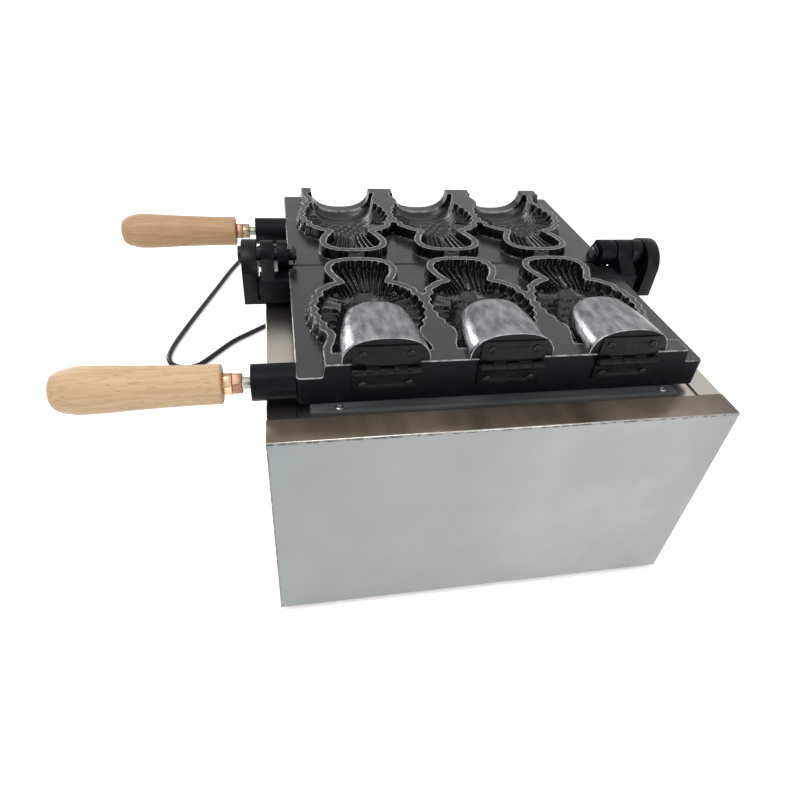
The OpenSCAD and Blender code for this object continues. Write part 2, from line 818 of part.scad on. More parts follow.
// Low-headed screws of one leaf, their shanks ending at the face behind it
module leaf_screws(k, z) {
    for (x = [-leaf_screw_x, leaf_screw_x]) translate([fish_x[k] + x, plate_front, z])
        rotate([90, 0, 0]) rotate_extrude($fn = round_fn)
            polygon([[0, 0.02], [1.55, 0.02], [1.55, leaf_t], [2.8, leaf_t], [2.4, leaf_t + 0.5],
                [0, leaf_t + 0.6]]);
}

module core_leaf_screws_left() {
    color("#2a2b2e") centred() leaf_screws(0, barrel_z + leaf_screw_up);
}

module core_leaf_screws_middle() {
    color("#2a2b2e") centred() leaf_screws(1, barrel_z + leaf_screw_up);
}

module core_leaf_screws_right() {
    color("#2a2b2e") centred() leaf_screws(2, barrel_z + leaf_screw_up);
}

module plate_leaf_screws() {
    color("#2a2b2e") centred() for (k = [0:2]) leaf_screws(k, barrel_z - leaf_screw_down);
}

// Heating

// Open sheet tray that carries the heaters and keeps their heat under the plates
module heater_tray() {
    t = 1;
    h = frame_top - sheet_t - tray_floor - 0.05;
    color("#aeb2b1") centred() difference() {
        translate([-tray_x + 2, tray_y[0], tray_floor]) cube([2 * tray_x - 4, tray_y[1] - tray_y[0], h]);
        translate([-tray_x + 2 + t, tray_y[0] + t, tray_floor + t])
            cube([2 * tray_x - 4 - 2 * t, tray_y[1] - tray_y[0] - 2 * t, h]);
        for (c = heater_centres(), d = [-1.5, 1.5])
            rod_x([-tray_x, -tray_x + 6], c + d * heater_run, heater_z, heater_d / 2 + 0.4);
    }
}

function heater_centres() = [hinge_y - 82, hinge_y + 82];

// Sheathed tube heater: four runs joined by half-round bends, its ends through the tray's wall
module heater(c) {
    r = heater_run / 2;
    for (k = [-1.5:1:1.5]) {
        left = abs(k) > 1 ? -tray_x - 12 : -heater_half;
        rod_x([left, heater_half], c + k * heater_run, heater_z, heater_d / 2);
    }
    for (b = [[1, -1], [-1, 0], [1, 1]]) translate([b[0] * heater_half, c + b[1] * heater_run, heater_z])
        rotate(b[0] > 0 ? -90 : 90) rotate_extrude(angle = 180, $fn = round_fn)
            translate([r, 0]) circle(r = heater_d / 2, $fn = 24);
    for (k = [-1.5, 1.5]) rod_x([-tray_x - 15, -tray_x - 11.9], c + k * heater_run, heater_z, 2);
}

module front_heater() {
    color("#6d6a66") centred() heater(heater_centres()[0]);
}

module rear_heater() {
    color("#6d6a66") centred() heater(heater_centres()[1]);
}

// Notched strips on the tray's floor that the tubes lie in
module heater_saddles() {
    color("#9a9e9d") centred() for (c = heater_centres(), x = [-80, 80]) difference() {
        translate([x, c - saddle_half, tray_floor + 1.02])
            cube([1.5, 2 * saddle_half, heater_z - tray_floor]);
        for (k = [-1.5:1:1.5]) {
            rod_x([x - 1, x + 3], c + k * heater_run, heater_z, heater_d / 2 + 0.05);
            translate([x - 1, c + k * heater_run - heater_d / 2 - 0.05, heater_z])
                cube([4, heater_d + 0.1, 9]);
        }
    }
}

// Controls, drawn on the left wall and mirrored onto the right one

module on_right() {
    centred() mirror([1, 0, 0]) children();
}

// Body behind the wall with its threaded neck and the shaft that the knob sits on
module control_body(y, depth, half) {
    inner = -wall_x + sheet_t + 0.05;
    translate([inner, y - half, knob_z - half]) cube([depth, 2 * half, 2 * half]);
    rod_x([-wall_x - knob_stand - 9, inner + 1], y, knob_z, shaft_d / 2);
    rod_x([inner, inner + depth + 4], y, knob_z, half * 0.6);
}

module front_thermostat() {
    color("#3a3b3f") on_right() control_body(knob_ys[0], 26, 15);
}

module rear_thermostat() {
    color("#3a3b3f") on_right() control_body(knob_ys[2], 26, 15);
}

module timer_drive() {
    color("#b79a58") on_right() control_body(knob_ys[1], 20, 20);
}

// Knob with a skirt, a fluted grip and a raised pointer
module knob(y) {
    r = knob_d / 2;
    flutes = 18;
    translate([-wall_x - knob_stand, y, knob_z]) rotate([0, -90, 0]) difference() {
        union() {
            rotate_extrude($fn = 96) polygon([[0, 0], [r, 0], [r, 2.2], [r - 1.2, 3.4], [0, 3.4]]);
            translate([0, 0, 3]) difference() {
                rotate_extrude($fn = 96) polygon([[0, 0], [r - 4, 0], [r - 5.2, knob_h - 4.2],
                    [r - 6.2, knob_h - 3], [0, knob_h - 3]]);
                for (k = [0:flutes - 1]) rotate(360 * k / flutes) translate([r - 3.4, 0, -0.01])
                    cylinder(r = 1.3, h = knob_h, $fn = 24);
            }
            translate([2, -1, knob_h - 0.6]) cube([r - 9, 2, 1]);
        }
        translate([0, 0, -1]) cylinder(r = shaft_d / 2 + bore_play, h = 11, $fn = round_fn);
    }
}

module front_heat_knob() {
    color("#202124") on_right() knob(knob_ys[0]);
}

module timer_knob() {
    color("#202124") on_right() knob(knob_ys[1]);
}

module rear_heat_knob() {
    color("#202124") on_right() knob(knob_ys[2]);
}

// Snap-in frame of the main switch, open in front and closed behind
module switch_frame() {
    w = rocker_w - 0.4;
    h = rocker_h - 0.4;
    color("#1c1d20") on_right() difference() {
        union() {
            translate([-wall_x - 1.8, rocker_y - w / 2 - 2, rocker_z - h / 2 - 2]) cube([1.75, w + 4, h + 4]);
            translate([-wall_x - 1, rocker_y - w / 2, rocker_z - h / 2]) cube([19, w, h]);
        }
        translate([-wall_x - 3, rocker_y - w / 2 + 1.2, rocker_z - h / 2 + 1.2]) cube([17, w - 2.4, h - 2.4]);
        translate([rocker_x, rocker_y, rocker_z - h]) cylinder(r = 1 + bore_play, h = 2 * h, $fn = round_fn);
    }
}

// Rocker with two hollowed wings, tilting about the pivot through its middle
rocker_tilt = 9;
module switch_rocker() {
    half_w = rocker_w / 2 - 2.6;
    half_h = rocker_h / 2 - 1.8;
    color("#b3261e") on_right() translate([rocker_x, rocker_y, rocker_z]) rotate([0, 0, rocker_tilt]) {
        translate([0, 0, -half_h]) linear_extrude(2 * half_h)
            polygon([[-7.4, -half_w + 1], [-5.8, 0], [-7.4, half_w - 1], [-5.6, half_w], [0, half_w - 1.4],
                [3, 2.6], [3, -2.6], [0, -half_w + 1.4], [-5.6, -half_w]]);
        translate([0, 0, -half_h - 1.2]) cylinder(r = 1, h = 2 * half_h + 2.4, $fn = round_fn);
    }
}

// Round lenses of the heat lamps with their bodies through the wall
module pilot_lamps() {
    color("#d2661f") on_right() for (y = [knob_ys[0], knob_ys[2]])
        translate([-wall_x + 20, y, lamp_z]) rotate([0, -90, 0]) rotate_extrude($fn = round_fn)
            polygon([[0, 0], [4.8, 0], [4.8, 20.05], [7, 20.05], [7, 21.4], [5, 23.4], [2.6, 24.4],
                [0, 24.8]]);
}

// Ceramic block on the base where the lead meets the heaters' wires
module terminal_block() {
    z = foot_h + 2 * sheet_t;
    color("#e4e0d6") centred() difference() {
        translate([gland_x - 26, cabinet_d - 70, z]) cube([52, 20, 16]);
        for (k = [-2:2]) translate([gland_x + k * 10, cabinet_d - 60, z + 7]) {
            cylinder(r = 2.2, h = 12, $fn = round_fn);
        }
    }
}

// Mains cord

// Tapered rubber relief with a collar against the rear wall
module cord_gland() {
    color("#191a1c") centred() translate([gland_x, cabinet_d - sheet_t - 4, gland_z]) rotate([-90, 0, 0])
        rotate_extrude($fn = round_fn) polygon([[0, 0], [8, 0], [8, 3.95], [5.9, 3.95], [5.9, 5.25],
            [9, 5.25], [9, 8], [6.2, 10], [cord_d / 2 + 0.9, gland_len + sheet_t + 4],
            [0, gland_len + sheet_t + 4]]);
}

// Centre line of the coil after t turns: spiralling in below, climbing a layer at the turn, then out above
function coil_point(t) = let (half = coil_turns / 2, r = coil_r - coil_pitch * min(t, coil_turns - t),
    rise = min(max((t - half + 0.25) / 0.5, 0), 1), a = coil_start - 360 * t)
    [coil_x + r * cos(a), coil_y + r * sin(a), cord_z + coil_pitch * rise * rise * (3 - 2 * rise)];

coil_heading = [sin(coil_start), -cos(coil_start), 0];
coil_in = coil_point(0) - coil_stub * coil_heading;
coil_out = coil_point(coil_turns) + coil_stub * coil_heading;
coil_path = concat([coil_in], [for (i = [0:coil_turns * coil_rings]) coil_point(i / coil_rings)], [coil_out]);

// Least distance between two stretches of the coil that are over half a turn apart
coil_gap = min([for (i = [0:len(coil_path) - 1], j = [i + coil_rings / 2:1:len(coil_path) - 1])
    norm(coil_path[i] - coil_path[j])]) - cord_d;

// Route of the cord from the relief, down to the table, round the loop beside the cabinet and to the coil
cord_route = concat([[gland_x, cabinet_d + gland_len, gland_z], [-110, 406, 45], [-110, 426, 40],
    [-111, 444, 28], [-115, 460, 14], [-125, 472, 6], [-139, 475, 3.4], [-154, 467, 3.4],
    [-169, 453, 3.4], [-183, 440, 3.4], [-204, 422, 3.4], [-223, 405, 3.4], [-241, 382, 3.4],
    [-257, 360, 3.4], [-267, 351, 3.4], [-279, 348, 3.4], [-291, 352, 3.4], [-299, 361, 3.4],
    [-302, 375, 3.4], [-299, 398, 3.4], [-289, 435, 3.4], [-277, 476, 3.4], [-265, 515, 3.4],
    [-252, 557, 3.4], [-239, 600, 3.4], [-226, 637, 3.4], [-217, 652, 3.4], [-207, 663.5, 3.4]],
    [coil_in]);

// Short end from the top of the coil to the plug beside it
tail_route = [coil_out, [-176, 692, 9], [-158, 698, 5.5], [-138, 698, 4], [-120, 697, 7], [-108, 697, 10.6],
    [plug_x, plug_y, plug_h / 2]];

function unit(v) = v / norm(v);

// Direction of a path at one of its points
function heading(p, i) = unit(p[min(i + 1, len(p) - 1)] - p[max(i - 1, 0)]);

// Ring of a round tube about one of its points, square to its path
function tube_ring(c, d, r, n) = let (u = unit(cross(d, [0, 0, 1])), v = cross(u, d))
    [for (j = [0:n - 1]) c + r * (cos(360 * j / n) * u + sin(360 * j / n) * v)];

// Round tube along a path, its two end rings square to the given end directions
module tube(path, n, first, last) {
    m = len(path) - 1;
    skin([for (i = [0:m]) let (way = i == 0 ? first : i == m ? last : heading(path, i))
        tube_ring(path[i], way, cord_d / 2, n)]);
}

module mains_cord() {
    color("#131416") centred() tube(smooth_curve(cord_route, 2), cord_sides, [0, 1, 0], coil_heading);
}

module cord_coil() {
    echo(least_gap_in_coil = coil_gap);
    color("#131416") centred() tube(coil_path, coil_sides, coil_heading, coil_heading);
}

module cord_tail() {
    color("#131416") centred() tube(smooth_curve(tail_route, 2), cord_sides, coil_heading, [1, 0, 0]);
}

// Angled plug: ribbed neck along the cord, flat body, two round pins across it
module mains_plug() {
    color("#1b1b1e") centred() translate([plug_x, plug_y, plug_h / 2]) {
        rotate([0, 90, 0]) rotate_extrude($fn = round_fn) polygon([[0, 0], [cord_d / 2 + 1, 0],
            [cord_d / 2 + 2.6, plug_neck - 3], [plug_h / 2 - 1, plug_neck + 0.5], [0, plug_neck + 0.5]]);
        translate([0, 0, -plug_h / 2]) linear_extrude(plug_h) translate([plug_neck, -plug_w / 2])
            rounded_rect([0, 0], [plug_body, plug_w], 7);
        for (k = [-0.5, 0.5]) {
            x = plug_neck + plug_body / 2 + k * plug_pin_pitch;
            translate([x, -plug_w / 2 + 0.5, 0]) rotate([90, 0, 0]) rotate_extrude($fn = round_fn)
                polygon([[0, 0], [plug_pin_d / 2, 0], [plug_pin_d / 2, plug_pin_len - 1],
                    [plug_pin_d / 2 - 1, plug_pin_len + 0.5], [0, plug_pin_len + 0.5]]);
        }
    }
}

front_panel();
left_side_panel();
right_side_panel();
rear_panel();
base_plate();
rubber_feet();
top_frame();
front_rest_bar();
rear_rest_bar();
rest_bar_screws();
left_hinge_bracket();
right_hinge_bracket();
bracket_screws();
left_hinge_pin();
right_hinge_pin();
hinge_spacer();
front_plate();
rear_plate();
front_handle_stud();
rear_handle_stud();
front_handle_nuts();
rear_handle_nuts();
front_handle_grip();
rear_handle_grip();
left_core();
middle_core();
right_core();
left_core_leaf();
middle_core_leaf();
right_core_leaf();
left_plate_leaf();
middle_plate_leaf();
right_plate_leaf();
left_leaf_pin();
middle_leaf_pin();
right_leaf_pin();
core_leaf_screws_left();
core_leaf_screws_middle();
core_leaf_screws_right();
plate_leaf_screws();
heater_tray();
front_heater();
rear_heater();
heater_saddles();
front_thermostat();
rear_thermostat();
timer_drive();
front_heat_knob();
rear_heat_knob();
timer_knob();
switch_frame();
switch_rocker();
pilot_lamps();
terminal_block();
cord_gland();
mains_cord();
cord_coil();
cord_tail();
mains_plug();
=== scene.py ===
"""Dresses a three-fish open-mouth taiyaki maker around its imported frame.

The cabinet stands on a pale floor with both mould plates laid open. Sizes are written in the cabinet's
millimetres, and place() turns them into metres in the frame's axes: X along the hinge line, Y to the back,
Z up, origin under the middle of the machine.
"""

import json
import logging
import math
from dataclasses import dataclass, field
from enum import Enum
from typing import Callable, Optional, Sequence

import bmesh
import bpy
import numpy as np
from mathutils import Matrix, Vector


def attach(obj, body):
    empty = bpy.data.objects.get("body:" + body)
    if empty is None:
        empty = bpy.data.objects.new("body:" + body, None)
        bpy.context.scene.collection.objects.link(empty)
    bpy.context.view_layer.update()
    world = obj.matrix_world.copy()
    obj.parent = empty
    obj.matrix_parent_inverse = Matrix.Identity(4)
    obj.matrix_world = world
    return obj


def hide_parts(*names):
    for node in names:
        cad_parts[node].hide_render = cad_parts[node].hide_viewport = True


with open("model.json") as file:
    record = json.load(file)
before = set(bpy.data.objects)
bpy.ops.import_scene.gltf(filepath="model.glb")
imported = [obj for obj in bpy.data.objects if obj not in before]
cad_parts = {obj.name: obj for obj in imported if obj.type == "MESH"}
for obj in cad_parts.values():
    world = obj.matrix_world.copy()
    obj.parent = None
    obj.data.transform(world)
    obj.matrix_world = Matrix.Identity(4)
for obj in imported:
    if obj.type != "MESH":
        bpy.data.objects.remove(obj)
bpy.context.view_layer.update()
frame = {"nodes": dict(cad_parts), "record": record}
LOG = logging.getLogger("taiyaki_maker")

MM = 0.001
IMAGE_SIDE = 800
# The frame's origin in the cabinet's mm: X from its middle, Y from its front face, Z from the table.
ORIGIN = Vector((-54.5, 179.5, 0.0))
SIDES = ("left", "middle", "right")
FISH_X = (-90.0, -3.0, 84.0)
PLATE_FRONT = 33.0
HINGE_Y = 196.0
PARTING = 225.0
WALL_X = 170.0
KNOB_Z = 105.0
# Part of a noise's range that is spread over a finish's two colours.
NOISE_SPAN = (0.35, 0.65)
Socket = bpy.types.NodeSocket
Tree = bpy.types.NodeTree
Shape = bmesh.types.BMesh


def place(x: float, y: float, z: float) -> Vector:
    """Turns a point in the cabinet's millimetres into the frame's metres."""
    return (Vector((x, y, z)) - ORIGIN) * MM


def to_linear(code: str) -> tuple[float, float, float, float]:
    """Turns an sRGB hex colour into linear light.

    Args:
        code: Colour as "#rrggbb".

    Returns:
        Linear red, green, blue and an alpha of 1.
    """
    parts = [int(code[k:k + 2], 16) / 255 for k in (1, 3, 5)]
    line = [c / 12.92 if c <= 0.04045 else ((c + 0.055) / 1.055) ** 2.4 for c in parts]
    return (line[0], line[1], line[2], 1.0)


def add_node(tree: Tree, kind: str, inputs: Optional[dict] = None, **settings: object) -> bpy.types.Node:
    """Adds a shader node with its settings and links.

    Args:
        tree: Node tree of the material.
        kind: Blender's name of the node type.
        inputs: Values or output sockets by input name or number.
        **settings: Properties set on the node before its inputs.

    Returns:
        The new node.
    """
    node = tree.nodes.new(kind)
    for name, value in settings.items():
        setattr(node, name, value)
    for key, value in (inputs or {}).items():
        if isinstance(value, Socket):
            tree.links.new(value, node.inputs[key])
        else:
            node.inputs[key].default_value = value
    return node


def blended(tree: Tree, share: Socket, first: str | Socket, second: str | Socket) -> Socket:
    """Mixes two colours.

    Args:
        tree: Node tree of the material.
        share: Share of the second colour.
        first: Colour as "#rrggbb" or an output.
        second: The other colour.

    Returns:
        The mixed colour.
    """
    pair = {k: to_linear(c) if isinstance(c, str) else c for k, c in (("A", first), ("B", second))}
    return add_node(tree, "ShaderNodeMix", {"Factor": share, **pair}, data_type="RGBA").outputs["Result"]


def ramped(tree: Tree, value: Socket, source: tuple[float, float],
           target: tuple[float, float] = (0.0, 1.0)) -> Socket:
    """Maps one range of a value onto another, held at both ends.

    Args:
        tree: Node tree of the material.
        value: Value to map.
        source: Its range.
        target: Range that it is mapped onto.

    Returns:
        The mapped value.
    """
    ends = dict(zip(("From Min", "From Max", "To Min", "To Max"), (*source, *target)))
    return add_node(tree, "ShaderNodeMapRange", {"Value": value, **ends}).outputs["Result"]


def combined(tree: Tree, operation: str, first: Socket, second: Socket | float) -> Socket:
    """Joins two numbers by one of Blender's maths operations and returns the result."""
    return add_node(tree, "ShaderNodeMath", {0: first, 1: second}, operation=operation).outputs["Value"]


def layer(tree: Tree, name: str) -> Socket:
    """Reads a float attribute of the mesh and returns it."""
    return add_node(tree, "ShaderNodeAttribute", attribute_name=name).outputs["Fac"]


@dataclass(frozen=True)
class Finish:
    """A surface with a main colour, a second one in soft patches, and fine relief.

    Attributes:
        name: Material's name, the real material.
        colour: Main colour.
        shade: Colour of the patches.
        patch_mm: Size of one patch.
        patch_amount: Share of the second colour at the patches' middles.
        stretch: How much longer the patches are along X, Y and Z.
        metallic: 1 for bare metal.
        roughness: Micro-roughness.
        rough_spread: How much the roughness changes between patches.
        ior: Index of refraction of a non-metal.
        gloss: Specular level of a non-metal, 0.5 for a clean surface and less for soot or baked oil.
        coat: Weight of a clear coat.
        grit_mm: Size of the fine relief.
        grit_depth_mm: Height of the fine relief.
    """

    name: str
    colour: str
    shade: str
    patch_mm: float = 30.0
    patch_amount: float = 0.5
    stretch: tuple[float, float, float] = (1.0, 1.0, 1.0)
    metallic: float = 0.0
    roughness: float = 0.5
    rough_spread: float = 0.1
    ior: float = 1.5
    gloss: float = 0.5
    coat: float = 0.0
    grit_mm: float = 0.6
    grit_depth_mm: float = 0.02

    def pattern(self, tree: Tree, size_mm: float, detail: float = 3.0,
                stretch: Optional[tuple[float, float, float]] = None) -> Socket:
        """Adds a noise in object space.

        Args:
            tree: Node tree of the material.
            size_mm: Size of one feature.
            detail: Octaves of finer noise in it.
            stretch: Stretch along X, Y and Z, where it isn't the finish's own.

        Returns:
            The noise's value, about 0.3 to 0.7.
        """
        where = add_node(tree, "ShaderNodeTexCoord").outputs["Object"]
        scaled = add_node(tree, "ShaderNodeMapping", {"Vector": where,
                          "Scale": tuple(1 / s for s in stretch or self.stretch)})
        noise = add_node(tree, "ShaderNodeTexNoise", {"Vector": scaled.outputs["Vector"],
                         "Scale": 1 / (size_mm * MM), "Detail": detail})
        return noise.outputs["Fac"]

    def colours(self, tree: Tree) -> Socket:
        """Mixes the two colours in patches and returns the colour."""
        share = ramped(tree, self.pattern(tree, self.patch_mm), NOISE_SPAN, (0.0, self.patch_amount))
        return blended(tree, share, self.colour, self.shade)

    def relief(self, tree: Tree) -> Socket:
        """Adds the fine relief and returns its normal."""
        bump = {"Height": self.pattern(tree, self.grit_mm, 2.0), "Distance": self.grit_depth_mm * MM}
        return add_node(tree, "ShaderNodeBump", {**bump, "Strength": 1.0}).outputs["Normal"]

    def roughnesses(self, tree: Tree) -> Socket:
        """Varies the roughness a little and returns it."""
        low, high = self.roughness - self.rough_spread / 2, self.roughness + self.rough_spread / 2
        return ramped(tree, self.pattern(tree, self.patch_mm * 0.6), NOISE_SPAN, (max(low, 0.02), high))

    def shine(self, tree: Tree) -> Optional[Socket]:
        """Gives the specular level where it changes over the surface, which a plain finish's doesn't."""

    def build(self) -> bpy.types.Material:
        """Makes the material, or finds it if it has been made.

        Returns:
            The material.
        """
        found = bpy.data.materials.get(self.name)
        if found:
            return found
        made = bpy.data.materials.new(self.name)
        made.use_nodes = True
        tree = made.node_tree
        inputs = tree.nodes["Principled BSDF"].inputs
        for name, value in (("Metallic", self.metallic), ("IOR", self.ior),
                            ("Specular IOR Level", self.gloss), ("Coat Weight", self.coat)):
            inputs[name].default_value = value
        for name, source in (("Base Color", self.colours(tree)), ("Roughness", self.roughnesses(tree)),
                             ("Normal", self.relief(tree)), ("Specular IOR Level", self.shine(tree))):
            if source:
                tree.links.new(source, inputs[name])
        return made


@dataclass(frozen=True)
class MouldCoating(Finish):
    """Dark non-stick coating, drawn near black on upright walls as painted shade set by their slope, and pale
    at rubbed edges, which also paints a highlight there.

    Attributes:
        painted_wall_shade: Near-black colour of the upright walls, painted shade set by their slope.
        worn_and_highlit: Colour of the edges, rubbed bare and lightened further as painted highlight.
        chip_mm: Size of the breaks in the rubbed edges.
        wall_gloss: The walls' share of the coating's shine.
    """

    # Near-black colour of the upright walls: painted shade set by their slope.
    painted_wall_shade: str = "#060608"
    worn_and_highlit: str = "#bdbcbf"
    chip_mm: float = 7.0
    wall_gloss: float = 0.5

    def colours(self, tree: Tree) -> Socket:
        """Adds the painted shade on upright walls and the pale rubbed edges with their painted highlight to
        the patches.

        Args:
            tree: Node tree of the material.

        Returns:
            The colour.
        """
        # Upright walls take the near-black colour by their slope: painted shade.
        wall = blended(tree, layer(tree, "face_open"), self.painted_wall_shade, super().colours(tree))
        chips = ramped(tree, self.pattern(tree, self.chip_mm), (0.34, 0.58), (0.25, 1.0))
        # Rubbed edges are bare metal and also carry a painted highlight.
        return blended(tree, combined(tree, "MULTIPLY", layer(tree, "edge_wear_and_highlight"), chips), wall, self.worn_and_highlit)

    def shine(self, tree: Tree) -> Socket:
        """Dulls the upright walls and returns the specular level."""
        return ramped(tree, layer(tree, "face_open"), (0.0, 1.0), (self.gloss * self.wall_gloss, self.gloss))


@dataclass(frozen=True)
class FilmedSheet(Finish):
    """Stainless sheet under its protective film, drawn darker and greener to the left as painted shade, with
    dark lines of grime on the film's cut edges and painted shadow at its foot.

    Attributes:
        left_painted_shade: Colour at the panel's left end, painted shade.
        shade_reach: How far the painted shade runs to the right.
        edge_dirt_and_shadow: Colour of the dark lines: grime on the film's cut edges, and painted shadow
            along the foot.
        border_mm: The front face's left side, foot and top in the frame's axes.
        line_mm: Width of the dark line.
        break_mm: Size of the breaks in that line.
    """

    left_painted_shade: str = "#989f9f"
    shade_reach: float = 0.2
    edge_dirt_and_shadow: str = "#3b3c38"
    border_mm: tuple[float, float, float] = (-115.5, 5.0, 190.0)
    line_mm: float = 1.5
    break_mm: float = 5.0

    def colours(self, tree: Tree) -> Socket:
        """Adds the painted shade at the left end and the dark edge lines to the patches.

        Args:
            tree: Node tree of the material.

        Returns:
            The colour.
        """
        where = add_node(tree, "ShaderNodeTexCoord").outputs["Object"]
        axes = add_node(tree, "ShaderNodeSeparateXYZ", {"Vector": where}).outputs
        left, foot, top = (v * MM for v in self.border_mm)
        width = self.line_mm * MM
        # Darker, greener left end: painted shade.
        left_shade = ramped(tree, axes["X"], (left, left + self.shade_reach), (0.85, 0.0))
        shaded_left = blended(tree, left_shade, super().colours(tree), self.left_painted_shade)
        side = ramped(tree, axes["X"], (left + width, left))
        # The foot's dark line is painted shadow under the panel; the side and top lines are grime on the
        # film's cut edges.
        low = ramped(tree, axes["Z"], (foot + width, foot))
        high = ramped(tree, axes["Z"], (top - 1.6 * width, top - 0.8 * width))
        line = combined(tree, "MAXIMUM", combined(tree, "MAXIMUM", side, low), high)
        broken = ramped(tree, self.pattern(tree, self.break_mm), (0.42, 0.56), (0.15, 1.0))
        return blended(tree, combined(tree, "MULTIPLY", line, broken), shaded_left, self.edge_dirt_and_shadow)


@dataclass(frozen=True)
class Beech(Finish):
    """Turned beech: pale pink-brown wood with close grain along the grip and short dark flecks.

    Attributes:
        fleck: Colour of the flecks.
        fleck_mm: Their width.
        fleck_stretch: How much longer they are along the grip.
    """

    fleck: str = "#a9794c"
    fleck_mm: float = 10 / 9
    fleck_stretch: float = 6.25

    def colours(self, tree: Tree) -> Socket:
        """Adds the flecks to the grain.

        Args:
            tree: Node tree of the material.

        Returns:
            The colour.
        """
        flecks = self.pattern(tree, self.fleck_mm, 1.0, (self.fleck_stretch, 1.0, 1.0))
        share = ramped(tree, flecks, (0.6, 0.72), (0.0, 0.55))
        return blended(tree, share, super().colours(tree), self.fleck)


# Pale blue-green film over stainless sheet: half mirror, with soft smears where it has been handled.
FILM = FilmedSheet("filmed_stainless_sheet", "#afb1af", "#a4a7a5", 60.0, 0.8, metallic=0.25, roughness=0.4,
                   rough_spread=0.14, coat=0.15, grit_mm=14.0, grit_depth_mm=0.08)
# Polished stainless sheet: warm grey mirror with long polishing streaks and thumb smears.
POLISHED = Finish("polished_stainless_sheet", "#cfcac1", "#beb8ae", 60.0, 0.5, (1.0, 9.0, 1.0), 1.0, 0.28,
                  0.06, grit_mm=3.0)
# The front's folded edge, polished across: bands side by side, drawn brown-grey as painted reflection of a
# warm, dim room.
FOLD_PAINTED_REFLECTION = Finish("stainless_fold_painted_reflection", "#93867a", "#62584d", 34.0, 1.0, (1.0, 9.0, 9.0), 0.55, 0.34,
              0.12, grit_mm=3.0)
# Bare bend of the sheet where the film ends: bright drawn metal.
BEND = Finish("bent_stainless_edge", "#d9d7d2", "#b3aea5", 6.0, 0.9, metallic=1.0, roughness=0.3, grit_mm=1.0)
# Satin steel bar, dark from heat and oil.
BAR_STEEL = Finish("satin_steel_bar", "#5a5d5e", "#46494a", 14.0, 0.9, (6.0, 1.0, 1.0), 0.3, 0.42, 0.12,
                   grit_mm=1.2)
# Zinc-plated steel: bright blue-white metal.
ZINC = Finish("zinc_plated_steel", "#c6c8ca", "#a9acb0", 6.0, 0.6, metallic=1.0, roughness=0.28, grit_mm=0.8)
# Stud's thread, green-white zinc, drawn as coarse as it needs to show.
STUD_ZINC = Finish("zinc_plated_thread", "#cfd3c6", "#8f938a", 1.3, 0.9, (0.5, 4.0, 4.0), 1.0, 0.34,
                   grit_mm=1.3, grit_depth_mm=0.1)
# Outer nuts, fresh yellow zinc: pale peach metal.
PEACH_ZINC = Finish("fresh_yellow_zinc", "#f0cfae", "#d9ac84", 5.0, 0.8, metallic=1.0, roughness=0.3,
                    grit_mm=0.8)
# Inner nuts, rubbed yellow zinc: rosy brown metal.
ROSY_ZINC = Finish("rubbed_yellow_zinc", "#b58a72", "#8d6c5a", 5.0, 0.9, metallic=1.0, roughness=0.32,
                   grit_mm=0.8)
# Rear nuts, dulled by the rear burner's heat: olive-brown metal.
OLIVE_ZINC = Finish("heat_dulled_zinc", "#a8987c", "#7b6c56", 5.0, 0.9, metallic=1.0, roughness=0.34,
                    grit_mm=0.8)
# Blackened, oiled steel: near black with a satin sheen.
BLACKENED = Finish("oil_blackened_steel", "#07080b", "#0e0f13", 10.0, 0.8, roughness=0.34,
                   rough_spread=0.16, gloss=0.2, grit_mm=0.7, grit_depth_mm=0.03)
# Worn edges and tops of blackened steel: dark grey where the oil has been wiped off.
GREYED = Finish("wiped_blackened_steel", "#17181b", "#0e0f12", 6.0, 0.8, roughness=0.3,
                gloss=0.35, grit_mm=0.7, grit_depth_mm=0.03)
# Cast aluminium under dark non-stick: brown-black satin, near black on upright walls as painted shade, pale
# at rubbed edges that also carry a painted highlight.
COATING = MouldCoating("nonstick_on_cast_aluminium", "#19181b", "#242325", 16.0, 0.8,
                       roughness=0.24, rough_spread=0.12, gloss=0.75, grit_mm=0.8, grit_depth_mm=0.03)
# Stove paint on the casting's sides, bosses and knuckles: blue-black and nearly matt.
STOVE_PAINT = Finish("baked_stove_paint", "#06080e", "#0b0d14", 14.0, 0.8, roughness=0.4,
                     rough_spread=0.14, gloss=0.14, grit_mm=1.0, grit_depth_mm=0.05)
# Polished cast aluminium: grey metal with cloudy hand-polish and faint scratches along it.
POLISHED_CAST = Finish("polished_cast_aluminium", "#b4b2b5", "#77757b", 6.0, 0.9, (1.0, 2.8, 1.0), 1.0, 0.29,
                       0.2, grit_mm=0.9, grit_depth_mm=0.04)
# Turned beech, sanded and unvarnished.
BEECH = Beech("turned_beech", "#d3b48e", "#c19f76", 2.2, 0.75, (14.0, 1.0, 1.0), 0.0, 0.5, 0.1, grit_mm=0.5,
              grit_depth_mm=0.03)
# The rear grip's beech, drawn a little darker and warmer: painted shade.
SHADED_BEECH = Beech("rear_beech_painted_shade", "#c09b76", "#ad8762", 2.2, 0.7, (14.0, 1.0, 1.0), 0.0, 0.5, 0.1,
                      grit_mm=0.5, grit_depth_mm=0.03)
# Matt black rubber of the feet and the cord's strain relief.
RUBBER = Finish("vulcanised_black_rubber", "#1b1b1d", "#262628", 8.0, 0.6, roughness=0.62, grit_mm=0.7,
                grit_depth_mm=0.04)
# Smooth PVC jacket of the mains cord.
JACKET = Finish("pvc_cord_jacket", "#08080a", "#0e0e10", 12.0, 0.6, roughness=0.3, gloss=0.4, grit_mm=1.0)
# Moulded black plastic with a fine spark texture.
PLASTIC = Finish("moulded_black_plastic", "#1f2023", "#28292c", 10.0, 0.6, roughness=0.44, grit_mm=0.5,
                 grit_depth_mm=0.04)
